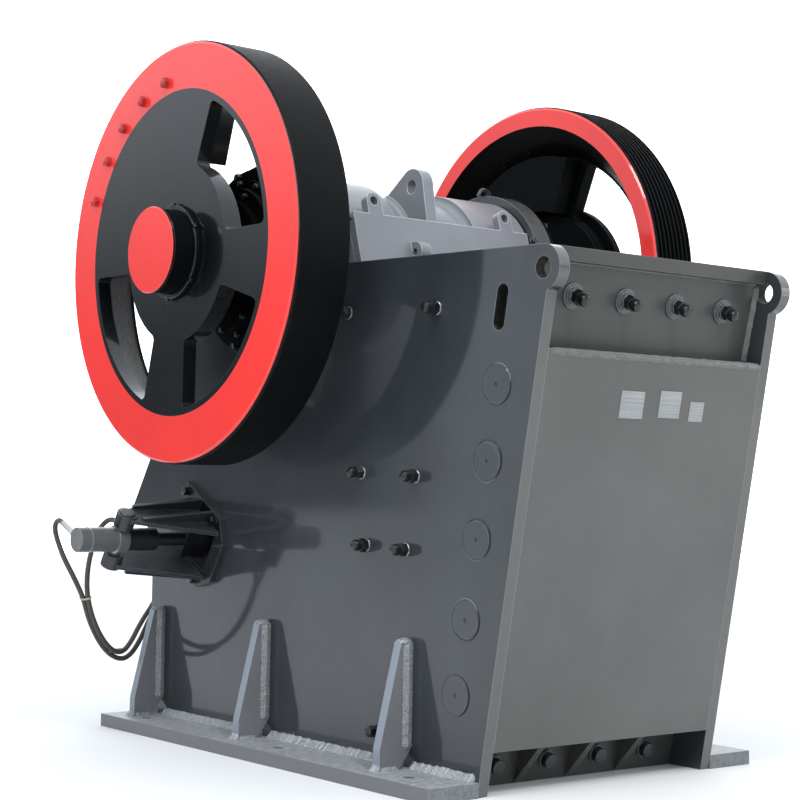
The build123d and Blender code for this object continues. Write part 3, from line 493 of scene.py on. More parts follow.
def wall_enamel():
    """The same enamel on the front wall, where it dried warmer and flatter."""
    return surface("wall_enamel", shade("wall", 0.88), shade("wall", 1.12), "#9a9994", 0.42, coat=0.1,
                   streak=0.2, dust=0.35)


def shaded_enamel():
    """The front wall's enamel in the recess behind the bolts and on the front ribs, made darker as
    painted shade.
    """
    return surface("shaded_enamel", shade("wall", 0.46), shade("wall", 0.62), "#86857f", 0.42, coat=0.1,
                   streak=0.15, dust=0.1)


def foot_enamel():
    """Enamel on the feet, dusty from the floor."""
    return surface("foot_enamel", "#606365", "#76797b", "#b4b9bd", 0.46, cloud=60.0, dust=0.85,
                   wave_mm=0.8, grain=180.0, grain_mm=0.8, edge_highlight_share=0.4, dust_code="#b6b8b9",
                   other=("X", 0.6, 0.9, "#68696a"))


def gusset_enamel():
    """Grey enamel on the gussets, smooth on their sides; the outward slopes are paler and bluish as a
    painted highlight.
    """
    return surface("gusset_enamel", "#6d6f71", "#7a7c7e", "#b9c1c8", 0.42, cloud=3.0, grain=160.0,
                   grain_mm=0.5, wave=20.0, edge_mm=3.0, coat=0.1, other=("X", 0.6, 0.9, "#7d868f"))


def jaw_enamel():
    """Pale grey paint on a steel casting, with a rougher cast skin under it."""
    return surface("jaw_enamel", shade("jaw", 0.88), shade("jaw", 1.12), "#e3e6e8", 0.38, grain=70.0,
                   grain_mm=0.5, coat=0.15, dust=0.25, edge_mm=6.0, edge_highlight_share=0.8)


def wheel_black():
    """Gloss black enamel on cast wheels, with a fine orange peel."""
    return surface("wheel_black", "#07090b", "#0d1114", "#4d575b", 0.3, grain=110.0, grain_mm=0.45,
                   wave=6.0, coat=1.0, edge_highlight_share=0.35, dust=0.04, specular=0.1)


def rim_black():
    """The same black on the turned rim, duller and stippled by the roller."""
    return surface("rim_black", "#040505", "#0b0c0d", "#2b3134", 0.5, grain=90.0, grain_mm=0.8,
                   wave=14.0, wave_mm=0.8, edge_highlight_share=0.3, dust=0.03, specular=0.1)


def shade_black():
    """The wheels' black made darker and matt as painted shade: inner webs, weights and hubs."""
    return surface("shade_black", "#040607", "#090d0f", "#222c30", 0.6, grain=110.0, grain_mm=0.45,
                   wave=6.0, edge_highlight_share=0.4, specular=0.06)


def signal_red():
    """Gloss red enamel on the wheel faces, masked where the turned rim starts, with a fine peel."""
    return surface("signal_red", shade("red", 0.95), shade("red", 1.08), "#ff8a84", 0.4, grain=120.0,
                   grain_mm=0.3, edge_highlight_share=0.3, coat=1.0, specular=0.2, other=("X", 0.7, 0.4, "#0b0d0e"))


def bolt_red():
    """The wheels' red on the bolt heads, darker as painted shade, with paler corners as painted
    highlight.
    """
    return surface("bolt_red", shade("red", 0.45), shade("red", 0.7), "#ff8a84", 0.4, grain=120.0,
                   grain_mm=0.3, edge_mm=1.0, edge_highlight_share=0.2, specular=0.2, coat=0.6)


def bracket_enamel():
    """Dark slate enamel of brackets and small forgings; faces that look along X are nearly black as
    painted shade.
    """
    return surface("bracket_enamel", "#202429", "#30353c", "#8f969c", 0.36, coat=0.3, dust=0.2,
                   edge_mm=3.0, edge_highlight_share=0.55, other=("X", 0.7, 0.9, "#0c0e10"))


def ram_enamel():
    """Grey enamel on the rams' tubes, nearly black nearer the middle than the gland as painted shade."""
    return surface("ram_enamel", "#545557", "#616264", "#a9aaac", 0.36, coat=0.3, edge_mm=3.0,
                   inner_painted_shade=(988, "#191b1d"))


def glossy_enamel():
    """Slate enamel flooded over the front wall's washers, glossy as it pooled there."""
    return surface("glossy_enamel", "#3f4143", "#4d4f51", "#a9acae", 0.24, cloud=30.0, coat=0.5,
                   edge_mm=2.0, edge_highlight_share=0.5, wave=30.0)


def dark_steel():
    """Oiled forged steel of the setting wedges, nearly black."""
    return surface("dark_steel", "#2c2e30", "#3d3f41", "#6f7274", 0.4, metallic=0.8, cloud=12.0,
                   grain_mm=0.4, edge_mm=2.0)


def black_oxide():
    """Black oxide on nuts, bolt heads, locking rings and spring wire, oily and glossy."""
    return surface("black_oxide", "#050607", "#0f1113", "#33393c", 0.3, grain=200.0, grain_mm=0.15,
                   edge_mm=1.5, edge_highlight_share=0.5, coat=0.2)


def zinc_plate():
    """Bright zinc on washers, the rams' rings and hose fittings."""
    return surface("zinc_plate", "#9da3a6", "#c4c9cb", "#e2e5e6", 0.3, metallic=0.9, cloud=25.0,
                   grain=300.0, grain_mm=0.1, edge_mm=1.0, wave_mm=0.1)


def machined_steel():
    """Turned and milled steel of the shaft, the tension rod and the toggle's seat."""
    return surface("machined_steel", "#8d9092", "#a9acae", "#d3d5d6", 0.32, metallic=1.0, cloud=20.0,
                   grain=260.0, grain_mm=0.12, wave_mm=0.1)


def manganese_casting():
    """Manganese steel as cast: brown grey, pitted by sand."""
    return surface("manganese_casting", "#5a5650", "#7b766d", "#a29e96", 0.55, metallic=0.45, cloud=5.0,
                   grain=85.0, grain_mm=1.2, wave=18.0, wave_mm=1.5, dust=0.3, specular=0.4)


def bare_steel():
    """Unpainted bores, a brown tone made near black as painted shade beside the enamel."""
    return surface("bare_steel", "#161615", "#2c2b26", "#4a4c4c", 0.6, cloud=40.0, dust=0.2, specular=0.2,
                   edge_highlight_share=0.3)


WELD_SKIN = {"cloud": 190.0, "grain": 220.0, "grain_mm": 1.2, "wave": 60.0, "wave_mm": 2.0, "coat": 0.2}


def weld_paint():
    """Painted weld metal, pale in 5 mm specks where spatter breaks the coat, to show at all; the ripples'
    ridges get a painted highlight.
    """
    return surface("weld_paint", "#54585a", "#a3a8ac", "#b7bbbe", 0.36, edge_highlight_share=0.25, **WELD_SKIN)


def dull_weld():
    """Weld metal under a fuller coat of the gussets' grey, with the same coarse specks."""
    return surface("dull_weld", "#67696a", "#a2a4a6", "#b4b9bc", 0.36, edge_highlight_share=0.3, **WELD_SKIN)


def seam_paint():
    """The front wall's enamel over its long seams, a little paler than the plates beside them."""
    return surface("seam_paint", "#525251", "#686866", "#82827f", 0.38, cloud=50.0, grain=120.0,
                   grain_mm=1.0, wave=40.0, wave_mm=2.0, coat=0.2)


def hose_rubber():
    """Rubber hose browned by age and dust, paler where the dust lies."""
    return surface("hose_rubber", "#3a2911", "#7d5f30", "#937a4c", 0.5, cloud=22.0, grain=400.0,
                   grain_mm=0.3, wave=40.0, wave_mm=0.4, dust=0.5, edge_mm=1.0, dust_code="#95865f",
                   specular=0.4)


def tie_nylon():
    """Natural nylon of the cable ties, yellowed and matt."""
    return surface("tie_nylon", "#a99c84", "#bfb39c", "#d8cfbd", 0.55, cloud=60.0, grain=300.0,
                   grain_mm=0.1, edge_mm=1.0, wave_mm=0.1)


def satin_plate():
    """Brushed aluminium of the blank plates."""
    return surface("satin_plate", "#8f9293", "#a6a9aa", "#dadcdc", 0.5, metallic=0.6, cloud=60.0,
                   grain=500.0, grain_mm=0.05, edge_mm=1.0, wave_mm=0.05, stretch=(0.05, 1, 8))


def both(*names):
    """A name for the left side and one for the right, of each name given."""
    return [f"{name}_{side}" for name in names for side in ("left", "right")]


NODE_FINISHES = {
    plate_enamel: [*both("side_plate", "bearing_housing"), "tie_beam", "hose_block"],
    wall_enamel: ["front_wall_cover", "rear_beam"],
    shaded_enamel: ["fixed_jaw_wall", "front_ribs"],
    foot_enamel: both("foot"),
    gusset_enamel: both("gussets"),
    jaw_enamel: ["jaw_barrel", "jaw_slab", "jaw_ribs", "jaw_heel", "jaw_guard_plate", "jaw_lifting_lug"],
    wheel_black: ["flywheel_web", "flywheel_weight", "flywheel_hub"],
    shade_black: ["sheave_web", "sheave_weight", "sheave_hub", "flywheel_sleeve", "sheave_sleeve",
                  *both("bearing_cover")],
    rim_black: ["flywheel_rim", "sheave_rim", "flywheel_back_ring"],
    signal_red: ["flywheel_face_ring", "sheave_face_ring", "sheave_back_ring", "flywheel_cap",
                 "sheave_cap"],
    bracket_enamel: both("ram_bracket"),
    ram_enamel: both("setting_ram"),
    black_oxide: ["tension_spring"],
    zinc_plate: ["hose_ferrules"],
    machined_steel: ["eccentric_shaft", "tension_rod", "toggle_seat"],
    dark_steel: ["setting_wedge_rear", "setting_wedge_front"],
    manganese_casting: ["fixed_jaw_die", "moving_jaw_die", *both("cheek_plate"), "toggle_plate"],
    hose_rubber: ["hose_end", "hose_rod"],
}


# Settings that a user would change

class CrusherSizes(bpy.types.PropertyGroup):
    """Sizes of the fasteners, welds and trim, in millimetres."""
    nut_flats: bpy.props.FloatProperty(
        name="Nut Flats", description="Width across flats of the cap nuts", default=46, min=20, max=80)
    nut_reach: bpy.props.FloatProperty(
        name="Nut Reach", description="How far a cap nut stands off its plate", default=67, min=40,
        max=120)
    weld_width: bpy.props.FloatProperty(
        name="Weld Width", description="Width of the gusset welds", default=22, min=8, max=40)
    seam_width: bpy.props.FloatProperty(
        name="Seam Width", description="Width of the long seams", default=14, min=6, max=30)
    spring_wire: bpy.props.FloatProperty(
        name="Spring Wire", description="Diameter of the spring's wire", default=18, min=6, max=24)
    hose_width: bpy.props.FloatProperty(
        name="Hose Diameter", description="Outside diameter of the hoses", default=22, min=10, max=24)


class CrusherColours(bpy.types.PropertyGroup):
    """Main paint colours."""
    plate: bpy.props.FloatVectorProperty(
        name="Side Plates", description="Slate enamel of the side plates", subtype="COLOR", size=3,
        min=0, max=1, default=linear("#2f3337"))
    wall: bpy.props.FloatVectorProperty(
        name="Front Wall", description="Enamel of the front wall", subtype="COLOR", size=3,
        min=0, max=1, default=linear("#555553"))
    jaw: bpy.props.FloatVectorProperty(
        name="Jaw", description="Paint of the swinging jaw", subtype="COLOR", size=3,
        min=0, max=1, default=linear("#777a7f"))
    red: bpy.props.FloatVectorProperty(
        name="Wheel Faces", description="Red of the wheel faces and caps", subtype="COLOR", size=3,
        min=0, max=1, default=linear("#e92e29"))


class CRUSHER_OT_camera(bpy.types.Operator):
    """Stand the camera where the photograph was taken."""
    bl_idname = "crusher.camera"
    bl_label = "Camera"

    def execute(self, context):
        azimuth, elevation = math.radians(CAMERA_AZIMUTH), math.radians(CAMERA_ELEVATION)
        back = Vector((math.sin(azimuth) * math.cos(elevation), -math.cos(azimuth) * math.cos(elevation),
                       math.sin(elevation)))
        right = (-back).cross(Vector((0, 0, 1))).normalized()
        up = right.cross(-back)
        roll = math.radians(CAMERA_ROLL)
        image_right = math.cos(roll) * right + math.sin(roll) * up
        image_up = -math.sin(roll) * right + math.cos(roll) * up
        data = bpy.data.cameras.new("photo_camera")
        data.lens = CAMERA_LENS
        data.clip_end = CAMERA_REACH_M
        camera = in_scene("photo_camera", data)
        camera.matrix_world = Matrix.Translation(mm(*CAMERA_AT)) @ axes(image_right, image_up, back)
        context.scene.camera = camera
        return {"FINISHED"}


def line_of(curve_data):
    """Points along a curve's own line, in metres."""
    bare = curve_data.copy()
    bare.bevel_depth = 0
    holder = bpy.data.objects.new("line", bare)
    mesh = bpy.data.meshes.new_from_object(holder)
    points = [v.co.copy() for v in mesh.vertices]
    bpy.data.objects.remove(holder)
    bpy.data.curves.remove(bare)
    bpy.data.meshes.remove(mesh)
    return points


class CRUSHER_OT_hoses(bpy.types.Operator):
    """Lay the near ram's two hoses from their ports to the block behind the side plate."""
    bl_idname = "crusher.hoses"
    bl_label = "Hoses"

    def execute(self, context):
        width = context.scene.crusher_sizes.hose_width
        lines = {}
        for name, points in HOSE_POINTS.items():
            data = bpy.data.curves.new(name, "CURVE")
            data.dimensions = "3D"
            data.resolution_u = 8
            data.bevel_depth = width * 0.0005
            data.bevel_resolution = 5
            data.use_fill_caps = True
            spline = data.splines.new("NURBS")
            spline.points.add(len(points) - 1)
            for point, place in zip(spline.points, points):
                point.co = (*mm(*place), 1.0)
            spline.order_u = 3
            spline.use_endpoint_u = True
            data.materials.append(hose_rubber())
            hose = in_scene(name, data)
            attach(hose, "frame")
            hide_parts(HOSE_NODES[name])
            lines[name] = line_of(data)
        ties = self.ties(lines)
        return {"FINISHED"}

    def ties(self, lines):
        """Two cable ties that hold the hoses side by side."""
        stamps = []
        band = ring_turned([(TIE_R - 1, -4), (TIE_R + 1, -4), (TIE_R + 1, 4), (TIE_R - 1, 4)], 20)
        for height, falling in TIES:
            spots = []
            for line in lines.values():
                half = line[:len(line) * 3 // 4] if falling else line[len(line) // 2:]
                nearest = min(range(1, len(half) - 1), key=lambda i: abs(half[i].z - height))
                spots.append((half[nearest], (half[nearest + 1] - half[nearest - 1]).normalized()))
            (a, run), (b, _) = spots
            gap = (b - a).length * 1000
            across = (b - a).normalized()
            normal = run.cross(across).normalized()
            stretch = Matrix.Diagonal((1 + gap / 2 / TIE_R, 1, 1, 1))
            turn = axes(across, normal, across.cross(normal))
            stamps.append((band, [Matrix.Translation((a + b) / 2) @ turn @ stretch]))
        return add_piece("hose_ties", stamps, tie_nylon(), "frame")


class CRUSHER_OT_paint(bpy.types.Operator):
    """Give every CAD node its finish."""
    bl_idname = "crusher.paint"
    bl_label = "Paint"

    def execute(self, context):
        painted = set()
        for finish, names in NODE_FINISHES.items():
            for name in names:
                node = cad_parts[name]
                node.data.materials.clear()
                node.data.materials.append(finish())
                painted.add(name)
        left = sorted(set(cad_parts) - painted)
        if left:
            raise RuntimeError(f"no finish for {left}")
        return {"FINISHED"}


def cap_nut(flats, reach):
    """Hexagon nut with a domed cap, on local Z."""
    low, hex_top = 5, 5 + (reach - 5) * 0.48
    crown = flats * 0.47
    cap = turned([(0, hex_top), (crown * 0.8, hex_top), (crown * 0.8, hex_top + 4), (crown, hex_top + 7),
                  (crown, reach - 12), (crown * 0.9, reach - 5), (crown * 0.6, reach - 1.2),
                  (0, reach)], 20)
    return joined(hexagon(flats, low, hex_top), cap)


def washer(radius, thick, low=0):
    """Flat washer on local Z with a broken rim."""
    return turned([(0, low), (radius, low), (radius, low + thick - 1.2), (radius - 1.2, low + thick),
                   (0, low + thick)], 28)


class CRUSHER_OT_cap_nuts(bpy.types.Operator):
    """Put capped nuts on both side plates."""
    bl_idname = "crusher.cap_nuts"
    bl_label = "Cap Nuts"

    def execute(self, context):
        sizes = context.scene.crusher_sizes
        places = both_sides([(PLATE_X, y, z, 17 * i) for i, (y, z) in enumerate(CAP_NUT_PLACES)])
        add_piece("side_cap_nuts", [(cap_nut(sizes.nut_flats, sizes.nut_reach), places)],
                  black_oxide(), "frame")
        add_piece("side_washers", [(washer(26, 5), places)], zinc_plate(), "frame")
        return {"FINISHED"}


def pulled(shape, straight):
    """A shape made round on local Z, parted at its middle and pulled long by an amount along Y."""
    for vert in shape.vertices:
        vert.co.y += math.copysign(straight * 0.0005, vert.co.y + 1e-7)
    return shape


class CRUSHER_OT_bores(bpy.types.Operator):
    """Linings of the lifting holes and cups that close the long slots of the side plates, near black as
    painted shade.
    """
    bl_idname = "crusher.bores"
    bl_label = "Bores"

    def execute(self, context):
        deep, wide = 1 - PLATE_T, 0.2
        outer, inner = LUG_HOLE_R + wide, LUG_HOLE_R - 0.8
        hole = ring_turned([(inner, deep), (outer, deep), (outer, -1), (inner, -1)], 48)
        holes = both_sides([(PLATE_X, LUG_Y, LUG_Z, 0)])
        outer, inner = SLOT_R + wide, SLOT_R - 0.8
        cup = pulled(turned([(0, deep), (outer, deep), (outer, -1), (inner, -1), (inner, deep + 1),
                             (0, deep + 1)], 32), SLOT_STRAIGHT)
        run, cups = up_lean(FRONT_LEAN), []
        for side in (-1, 1):
            out = Vector((side, 0, 0))
            cups.append(Matrix.Translation(mm(side * PLATE_X, SLOT_Y, SLOT_Z))
                        @ axes(run.cross(out), run, out))
        # The dark linings and slot cups are painted shade
        add_piece("plate_bores", [(hole, holes), (cup, cups)], bare_steel(), "frame")
        return {"FINISHED"}


class CRUSHER_OT_wall_bolts(bpy.types.Operator):
    """Put the stacked tension bolts through the front wall and their heads at its foot."""
    bl_idname = "crusher.wall_bolts"
    bl_label = "Wall Bolts"

    def execute(self, context):
        out, sag = off_lean(WALL_LEAN), off_lean(WALL_LEAN + NUT_DROOP)
        y = wall_y(WALL_BOLT_Z)
        high = [stand((x + WALL_BOLT_SHIFT, y, WALL_BOLT_Z), out) for x in WALL_BOLT_X]
        low = [stand((x, wall_y(WALL_LOW_BOLT_Z), WALL_LOW_BOLT_Z), out) for x in WALL_BOLT_X]
        lifted = [stand((x + WALL_BOLT_SHIFT, y - 14, WALL_BOLT_Z - 2), sag, 11 * i)
                  for i, x in enumerate(WALL_BOLT_X)]
        stack = joined(washer(48, 8), washer(40, 6, 8), washer(29, 8, 14))
        add_piece("wall_washers", [(stack, high), (washer(38, 8), low)], glossy_enamel())
        nut = cap_nut(50, 66)
        head = turned([(0, 8), (30, 8), (30, 26), (26, 32), (0, 34)], 28)
        add_piece("wall_cap_nuts", [(nut, lifted)], black_oxide(), "frame")
        add_piece("wall_bolt_heads", [(head, low)], bracket_enamel())
        return {"FINISHED"}


class CRUSHER_OT_plugs(bpy.types.Operator):
    """Seam round each plug disc of the side plates, with its centre mark."""
    bl_idname = "crusher.plugs"
    bl_label = "Plug Discs"

    def execute(self, context):
        places = both_sides([(PLATE_X + PLUG_PROUD, y, z, 0) for y, z in PLUG_PLACES])
        seam = ring_turned([(69.8, -4), (75, -4), (74.6, 0.4), (73.2, 1.6), (71.4, 1.6), (70.4, 0.8)])
        mark = turned([(0, 0.4), (7, 0.4), (8, 1.2), (9.4, 1.2), (10.4, 0)], 20)
        dot = turned([(0, 0.9), (6.8, 0.9), (6.8, 0)], 20)
        add_piece("plug_seams", [(seam, places), (mark, places)], plug_enamel())
        add_piece("plug_marks", [(dot, places)], black_oxide(), "frame")
        return {"FINISHED"}


class CRUSHER_OT_wheel_bolts(bpy.types.Operator):
    """Bolt the balance weights through the wheels' faces and fit the hubs' locking rings."""
    bl_idname = "crusher.wheel_bolts"
    bl_label = "Wheel Bolts"

    def execute(self, context):
        head = joined(hexagon(38, 3, 22), washer(22, 3))
        nut = joined(hexagon(38, 0, 24), turned([(0, 24), (12, 24), (12, 36), (0, 37)], 16))
        faces = both_sides([(*on_shaft(WHEEL_X, FACE_BOLT_R, angle), angle)
                            for angle in FACE_BOLT_ANGLES])
        inner, lugs = [], []
        for side in (-1, 1):
            out = Vector((side, 0, 0))
            inner += [stand(on_shaft(side * WHEEL_NUT_X, WHEEL_NUT_R, angle), -out, angle)
                      for angle in FACE_BOLT_ANGLES]
            for angle in RING_LUG_ANGLES:
                place = on_shaft(side * RING_LUG_X, RING_LUG_R, angle)
                away = (Vector(place) - Vector((place[0], SHAFT_Y, SHAFT_Z))).normalized()
                lugs.append(Matrix.Translation(mm(*place)) @ axes(away.cross(out), away, out))
        add_piece("wheel_face_bolts", [(head, faces)], bolt_red(), "rotor")
        add_piece("wheel_nuts", [(nut, inner)], shade_black(), "rotor")
        ring = ring_turned([(171, 0), (186, 0), (188, 2), (188, 9), (186, 11), (171, 11)], 72)
        rings = both_sides([(RING_X, SHAFT_Y, SHAFT_Z, 0)])
        lug = drawn([(-9, -4), (9, -4), (9, 13), (-9, 13)], 15, 2)
        add_piece("hub_locking_rings", [(ring, rings), (lug, lugs)], black_oxide(), "rotor")
        return {"FINISHED"}


def bolt_circle(x, radius, count, first, turn):
    """Places of a number of bolts round the shaft, each with its head's turn."""
    step = 360 / count
    return [(*on_shaft(x, radius, first + step * i), turn + step * i) for i in range(count)]


class CRUSHER_OT_bearing_bolts(bpy.types.Operator):
    """Bolt the stepped bearing covers to their housings."""
    bl_idname = "crusher.bearing_bolts"
    bl_label = "Bearing Bolts"

    def execute(self, context):
        head = joined(hexagon(30, 3, 20), washer(19, 3))
        small = joined(hexagon(22, 2, 15), washer(14, 2))
        heads = both_sides(bolt_circle(*OUTER_CIRCLE))
        smalls = both_sides(bolt_circle(*MIDDLE_CIRCLE) + bolt_circle(*INNER_CIRCLE))
        add_piece("bearing_cover_bolts", [(head, heads), (small, smalls)], black_oxide(), "frame")
        return {"FINISHED"}


class CRUSHER_OT_jaw_trim(bpy.types.Operator):
    """Cast fillets at the jaw's lifting lug, bows on the housings and the cheek plates' bolts."""
    bl_idname = "crusher.jaw_trim"
    bl_label = "Jaw Trim"

    def execute(self, context):
        fillets = []
        foot = ((-2, -2), (16, -2), (16, 0.4), (9, 2.4), (3.6, 6.4), (1, 12), (0, 18), (-2, 18))
        for x, out in zip(LUG_X, (-1, 1)):
            profile = [(x + out * run, WAIST_R + rise) for run, rise in foot]
            fillets.append(round_shaft(profile, *FILLET_ANGLES))
        add_piece("lug_fillets", laid(fillets), jaw_enamel(), "jaw")
        bow = lifting_bow(34, 9)
        places = [stand((side * BOW_X, SHAFT_Y, SHAFT_Z + HOUSING_R - 2), (0, 0, 1)) for side in (-1, 1)]
        add_piece("housing_bows", [(bow, places)], bracket_enamel())
        head = joined(hexagon(24, 2, 17), washer(15, 2))
        x, y, z = CHEEK_BOLT
        spots = [stand((side * x, y, z), CHEEK_BOLT_AXIS) for side in (-1, 1)]
        add_piece("cheek_bolts", [(head, spots)], bracket_enamel())
        return {"FINISHED"}


class CRUSHER_OT_spring(bpy.types.Operator):
    """Wind the tension rod's spring."""
    bl_idname = "crusher.spring"
    bl_label = "Tension Spring"

    def execute(self, context):
        wire = context.scene.crusher_sizes.spring_wire * 0.001
        low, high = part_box("tension_spring")
        middle, length = (low + high) / 2, high.y - low.y
        radius = (high.z - low.z) / 2 - wire / 2
        steps = SPRING_TURNS * TURN_STEPS
        bm = bmesh.new()
        made = bmesh.ops.create_circle(bm, segments=10, radius=wire / 2)
        bmesh.ops.rotate(bm, verts=made["verts"], cent=(0, 0, 0),
                         matrix=Matrix.Rotation(math.pi / 2, 3, "X"))
        bmesh.ops.translate(bm, verts=made["verts"], vec=(radius, 0, -(length - wire) / 2))
        bmesh.ops.spin(bm, geom=list(bm.verts) + list(bm.edges), axis=(0, 0, 1), steps=steps,
                       dvec=(0, 0, (length - wire) / steps), angle=math.tau * SPRING_TURNS)
        bmesh.ops.holes_fill(bm, edges=bm.edges, sides=12)
        shape = as_shape(bm)
        place = Matrix.Translation(middle) @ along((0, 1, 0))
        spring = add_piece("tension_spring_coil", [(shape, [place])], black_oxide(), "jaw")
        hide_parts("tension_spring")
        return {"FINISHED"}


class CRUSHER_OT_welds(bpy.types.Operator):
    """Lay the weld seams of the feet, the gussets and the front wall."""
    bl_idname = "crusher.welds"
    bl_label = "Welds"

    def execute(self, context):
        sizes = context.scene.crusher_sizes
        wide, seam = sizes.weld_width, sizes.seam_width
        fillets, bands, seams = [], [], []

        def spot(out, y, z):
            """A place so far out from the side plate that is being welded."""
            return (side * (PLATE_X + out), y, z)

        for side in (-1, 1):
            for i, y in enumerate(GUSSET_YS):
                back = y + GUSSET_T
                for edge in (y, back):
                    low, high = (spot(BAND_OUT, edge, z) for z in BAND_Z)
                    bands.append(bead(low, high, BAND_WIDE, pitch=8, seed=i, flat=3.2, sides=4))
                    near, far = (spot(out, edge, FOOT_T) for out in SOLE_OUT)
                    fillets.append(bead(near, far, wide * 1.2, seed=i + 9, sides=4))
                fillets.append(bead(spot(CREST_OUT, y - 3, CREST_Z), spot(CREST_OUT, back + 3, CREST_Z),
                                    wide * 1.4, pitch=7, seed=i + 5, flat=1.9))
                fillets.append(bead(spot(TOE_OUT, y - 5, FOOT_T), spot(TOE_OUT, back + 5, FOOT_T),
                                    wide * 2.0, pitch=7, seed=i + 7, sides=4))
            for i, (start, end) in enumerate(FOOT_SPANS):
                fillets.append(bead(spot(0, start + 4, FOOT_T), spot(0, end - 4, FOOT_T), wide * 2.4,
                                    seed=i + 20, sides=4))
            low, high = ((side * INNER_X, wall_y(z), z) for z in RECESS_SIDES_Z)
            seams.append(bead(low, high, seam * 2.0, seed=32, sides=4))
        for y, z, share, more in (
                (front_y(COVER_TOP_Z, 2), COVER_TOP_Z, 2.0, {"pitch": 20, "seed": 42, "flat": 0.25}),
                (wall_y(RECESS_LOW_Z), RECESS_LOW_Z, 1.5, {"seed": 41}),
                (wall_y(RECESS_HIGH_Z), RECESS_HIGH_Z, 0.7, {"seed": 43})):
            seams.append(bead((-INNER_X, y, z), (INNER_X, y, z), seam * share, **more))
        add_piece("frame_welds", laid(fillets), weld_paint(), smooth=25)
        add_piece("gusset_welds", laid(bands), dull_weld(), smooth=25)
        add_piece("wall_seams", laid(seams), seam_paint(), smooth=60)
        return {"FINISHED"}


class CRUSHER_OT_ram_trim(bpy.types.Operator):
    """Bolt the ram brackets on, cap their trunnions and ring the rams' tubes."""
    bl_idname = "crusher.ram_trim"
    bl_label = "Ram Trim"

    def execute(self, context):
        head = joined(hexagon(34, 4, 26), washer(24, 4))
        axis = up_lean(THRUST_LEAN)
        pins = [stand((side * TRUNNION_X, *thrust(0, up * TRUNNION_U)), axis * up)
                for side in (-1, 1) for up in (-1, 1)]
        heads = both_sides([(FLANGE_X, *thrust(v, u), 20) for v, u in FLANGE_BOLTS])
        bands = both_sides([(x, RAM_Y, RAM_Z, 0) for x in BAND_XS])
        collars = both_sides([(COLLAR_X, RAM_Y, RAM_Z, 0)])
        cap = turned([(0, -2), (34, -2), (34, 4), (30, 8), (0, 9)], 28)
        band = ring_turned([(50, -1.5), (53.2, -1.5), (53.2, 1.5), (50, 1.5)], 48)
        collar = ring_turned([(50, 0), (58.6, 0), (58.6, 2), (50, 2)], 48)
        add_piece("ram_rings", [(band, bands), (collar, collars)], zinc_plate(), "frame")
        add_piece("bracket_bolts", [(head, heads)], black_oxide(), "frame")
        add_piece("trunnion_caps", [(cap, pins)], bracket_enamel())
        return {"FINISHED"}


class CRUSHER_OT_blank_plates(bpy.types.Operator):
    """Rivet three bare plates to the front cover."""
    bl_idname = "crusher.blank_plates"
    bl_label = "Blank Plates"

    def execute(self, context):
        plates, rivets = [], []
        rivet = turned([(0, 1), (3, 1), (2.4, 2.6), (0, 3.2)], 12)
        face = axes((1, 0, 0), up_lean(FRONT_LEAN), off_lean(FRONT_LEAN))
        for x, z, wide, tall in BLANKS:
            place = Matrix.Translation(mm(x, front_y(z), z)) @ face
            a, b = wide / 2, tall / 2
            plates.append((drawn([(-a, -b), (a, -b), (a, b), (-a, b)], 2, 0.6), [place]))
            rivets += [place @ Matrix.Translation(mm(right * (a - 8), up * (b - 8), 1))
                       for right in (-1, 1) for up in (-1, 1)]
        add_piece("blank_plates", plates + [(rivet, rivets)], satin_plate(), "frame")
        return {"FINISHED"}


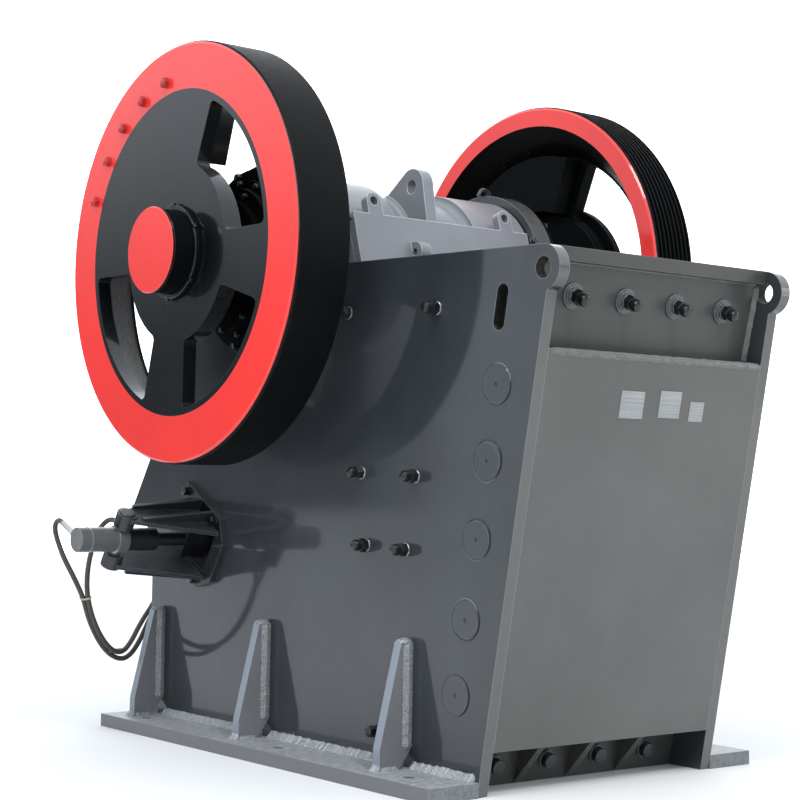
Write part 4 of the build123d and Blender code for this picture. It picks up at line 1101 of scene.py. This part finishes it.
class CRUSHER_OT_stage(bpy.types.Operator):
    """Lay a pale floor with a white backdrop and hang soft lights."""
    bl_idname = "crusher.stage"
    bl_label = "Stage"

    def execute(self, context):
        bm = bmesh.new()
        bmesh.ops.create_grid(bm, x_segments=1, y_segments=1, size=FLOOR_HALF)
        self.sheet("studio_floor", bm, "#e2e2e1", 0.0)
        bm = bmesh.new()
        made = bmesh.ops.create_grid(bm, x_segments=1, y_segments=1, size=BACKDROP_HALF)
        azimuth = math.radians(CAMERA_AZIMUTH)
        toward = Vector((math.sin(azimuth), -math.cos(azimuth), 0))
        away = Matrix.Translation(toward * -BACKDROP_AWAY + Vector((0, 0, BACKDROP_Z)))
        bmesh.ops.transform(bm, matrix=away @ along(toward), verts=made["verts"])
        self.sheet("studio_backdrop", bm, "#ffffff", 1.0)
        world = bpy.data.worlds.new("studio_air")
        world.use_nodes = True
        tree = world.node_tree
        way = add_node(tree, "ShaderNodeTexCoord").outputs["Generated"]
        parts = add_node(tree, "ShaderNodeSeparateXYZ", {"Vector": way}).outputs
        climb, left = (add_node(tree, "ShaderNodeMapRange", {"Value": parts[axis], "From Min": start,
                                                             "From Max": end, "To Max": most},
                                interpolation_type="SMOOTHSTEP").outputs["Result"]
                       for axis, (start, end), most in (("Z", AIR_CLIMB, 1.0),
                                                        ("X", AIR_LEFT, AIR_LEFT_SHARE)))
        lit = add_node(tree, "ShaderNodeMath", {0: climb, 1: left}, operation="MAXIMUM").outputs[0]
        bright = add_node(tree, "ShaderNodeMapRange", {"Value": lit, "To Min": AIR_STRENGTH[0],
                                                       "To Max": AIR_STRENGTH[1]}).outputs["Result"]
        air = tree.nodes["Background"]
        air.inputs["Color"].default_value = colour4(AIR_COLOUR)
        tree.links.new(bright, air.inputs["Strength"])
        context.scene.world = world
        for name, place, target, size, power, colour in LIGHTS:
            data = bpy.data.lights.new(name, "AREA")
            data.shape = "DISK"
            data.size = size
            data.energy = power
            data.color = linear(colour)
            light = in_scene(name, data)
            light.matrix_world = Matrix.Translation(mm(*place)) @ along(mm(*place) - mm(*target))
        context.scene.view_settings.view_transform = "Standard"
        return {"FINISHED"}

    def sheet(self, name, bm, code, glow):
        """One flat sheet of the studio, which may glow."""
        mesh = as_mesh(bm, name)
        material = bpy.data.materials.new(name)
        material.use_nodes = True
        shader = material.node_tree.nodes["Principled BSDF"]
        shader.inputs["Base Color"].default_value = colour4(code)
        shader.inputs["Roughness"].default_value = 0.9
        shader.inputs["Emission Color"].default_value = colour4("#ffffff")
        shader.inputs["Emission Strength"].default_value = glow
        mesh.materials.append(material)
        sheet = in_scene(name, mesh)


OPERATORS = (
    CRUSHER_OT_camera, CRUSHER_OT_hoses, CRUSHER_OT_paint, CRUSHER_OT_cap_nuts, CRUSHER_OT_bores,
    CRUSHER_OT_wall_bolts, CRUSHER_OT_plugs, CRUSHER_OT_wheel_bolts, CRUSHER_OT_bearing_bolts,
    CRUSHER_OT_jaw_trim, CRUSHER_OT_spring, CRUSHER_OT_welds, CRUSHER_OT_ram_trim,
    CRUSHER_OT_blank_plates, CRUSHER_OT_stage)


class CRUSHER_PT_panel(bpy.types.Panel):
    """Lists the steps that dress the crusher."""
    bl_idname = "CRUSHER_PT_panel"
    bl_label = "Crusher"
    bl_space_type = "VIEW_3D"
    bl_region_type = "UI"
    bl_category = "Crusher"

    def draw(self, context):
        for group in (context.scene.crusher_sizes, context.scene.crusher_colours):
            for name in group.__annotations__:
                self.layout.prop(group, name)
        for operator in OPERATORS:
            self.layout.operator(operator.bl_idname)


CLASSES = (CrusherSizes, CrusherColours, *OPERATORS, CRUSHER_PT_panel)


def register():
    """Registers the classes and hangs their settings on the scene."""
    for item in CLASSES:
        bpy.utils.register_class(item)
    bpy.types.Scene.crusher_sizes = bpy.props.PointerProperty(type=CrusherSizes)
    bpy.types.Scene.crusher_colours = bpy.props.PointerProperty(type=CrusherColours)


def unregister():
    """Takes the settings and the classes away."""
    del bpy.types.Scene.crusher_sizes
    del bpy.types.Scene.crusher_colours
    for item in reversed(CLASSES):
        bpy.utils.unregister_class(item)


def main():
    """Dresses the crusher."""
    register()
    for operator in OPERATORS:
        group, name = operator.bl_idname.split(".")
        getattr(getattr(bpy.ops, group), name)()


if __name__ == "__main__":
    main()
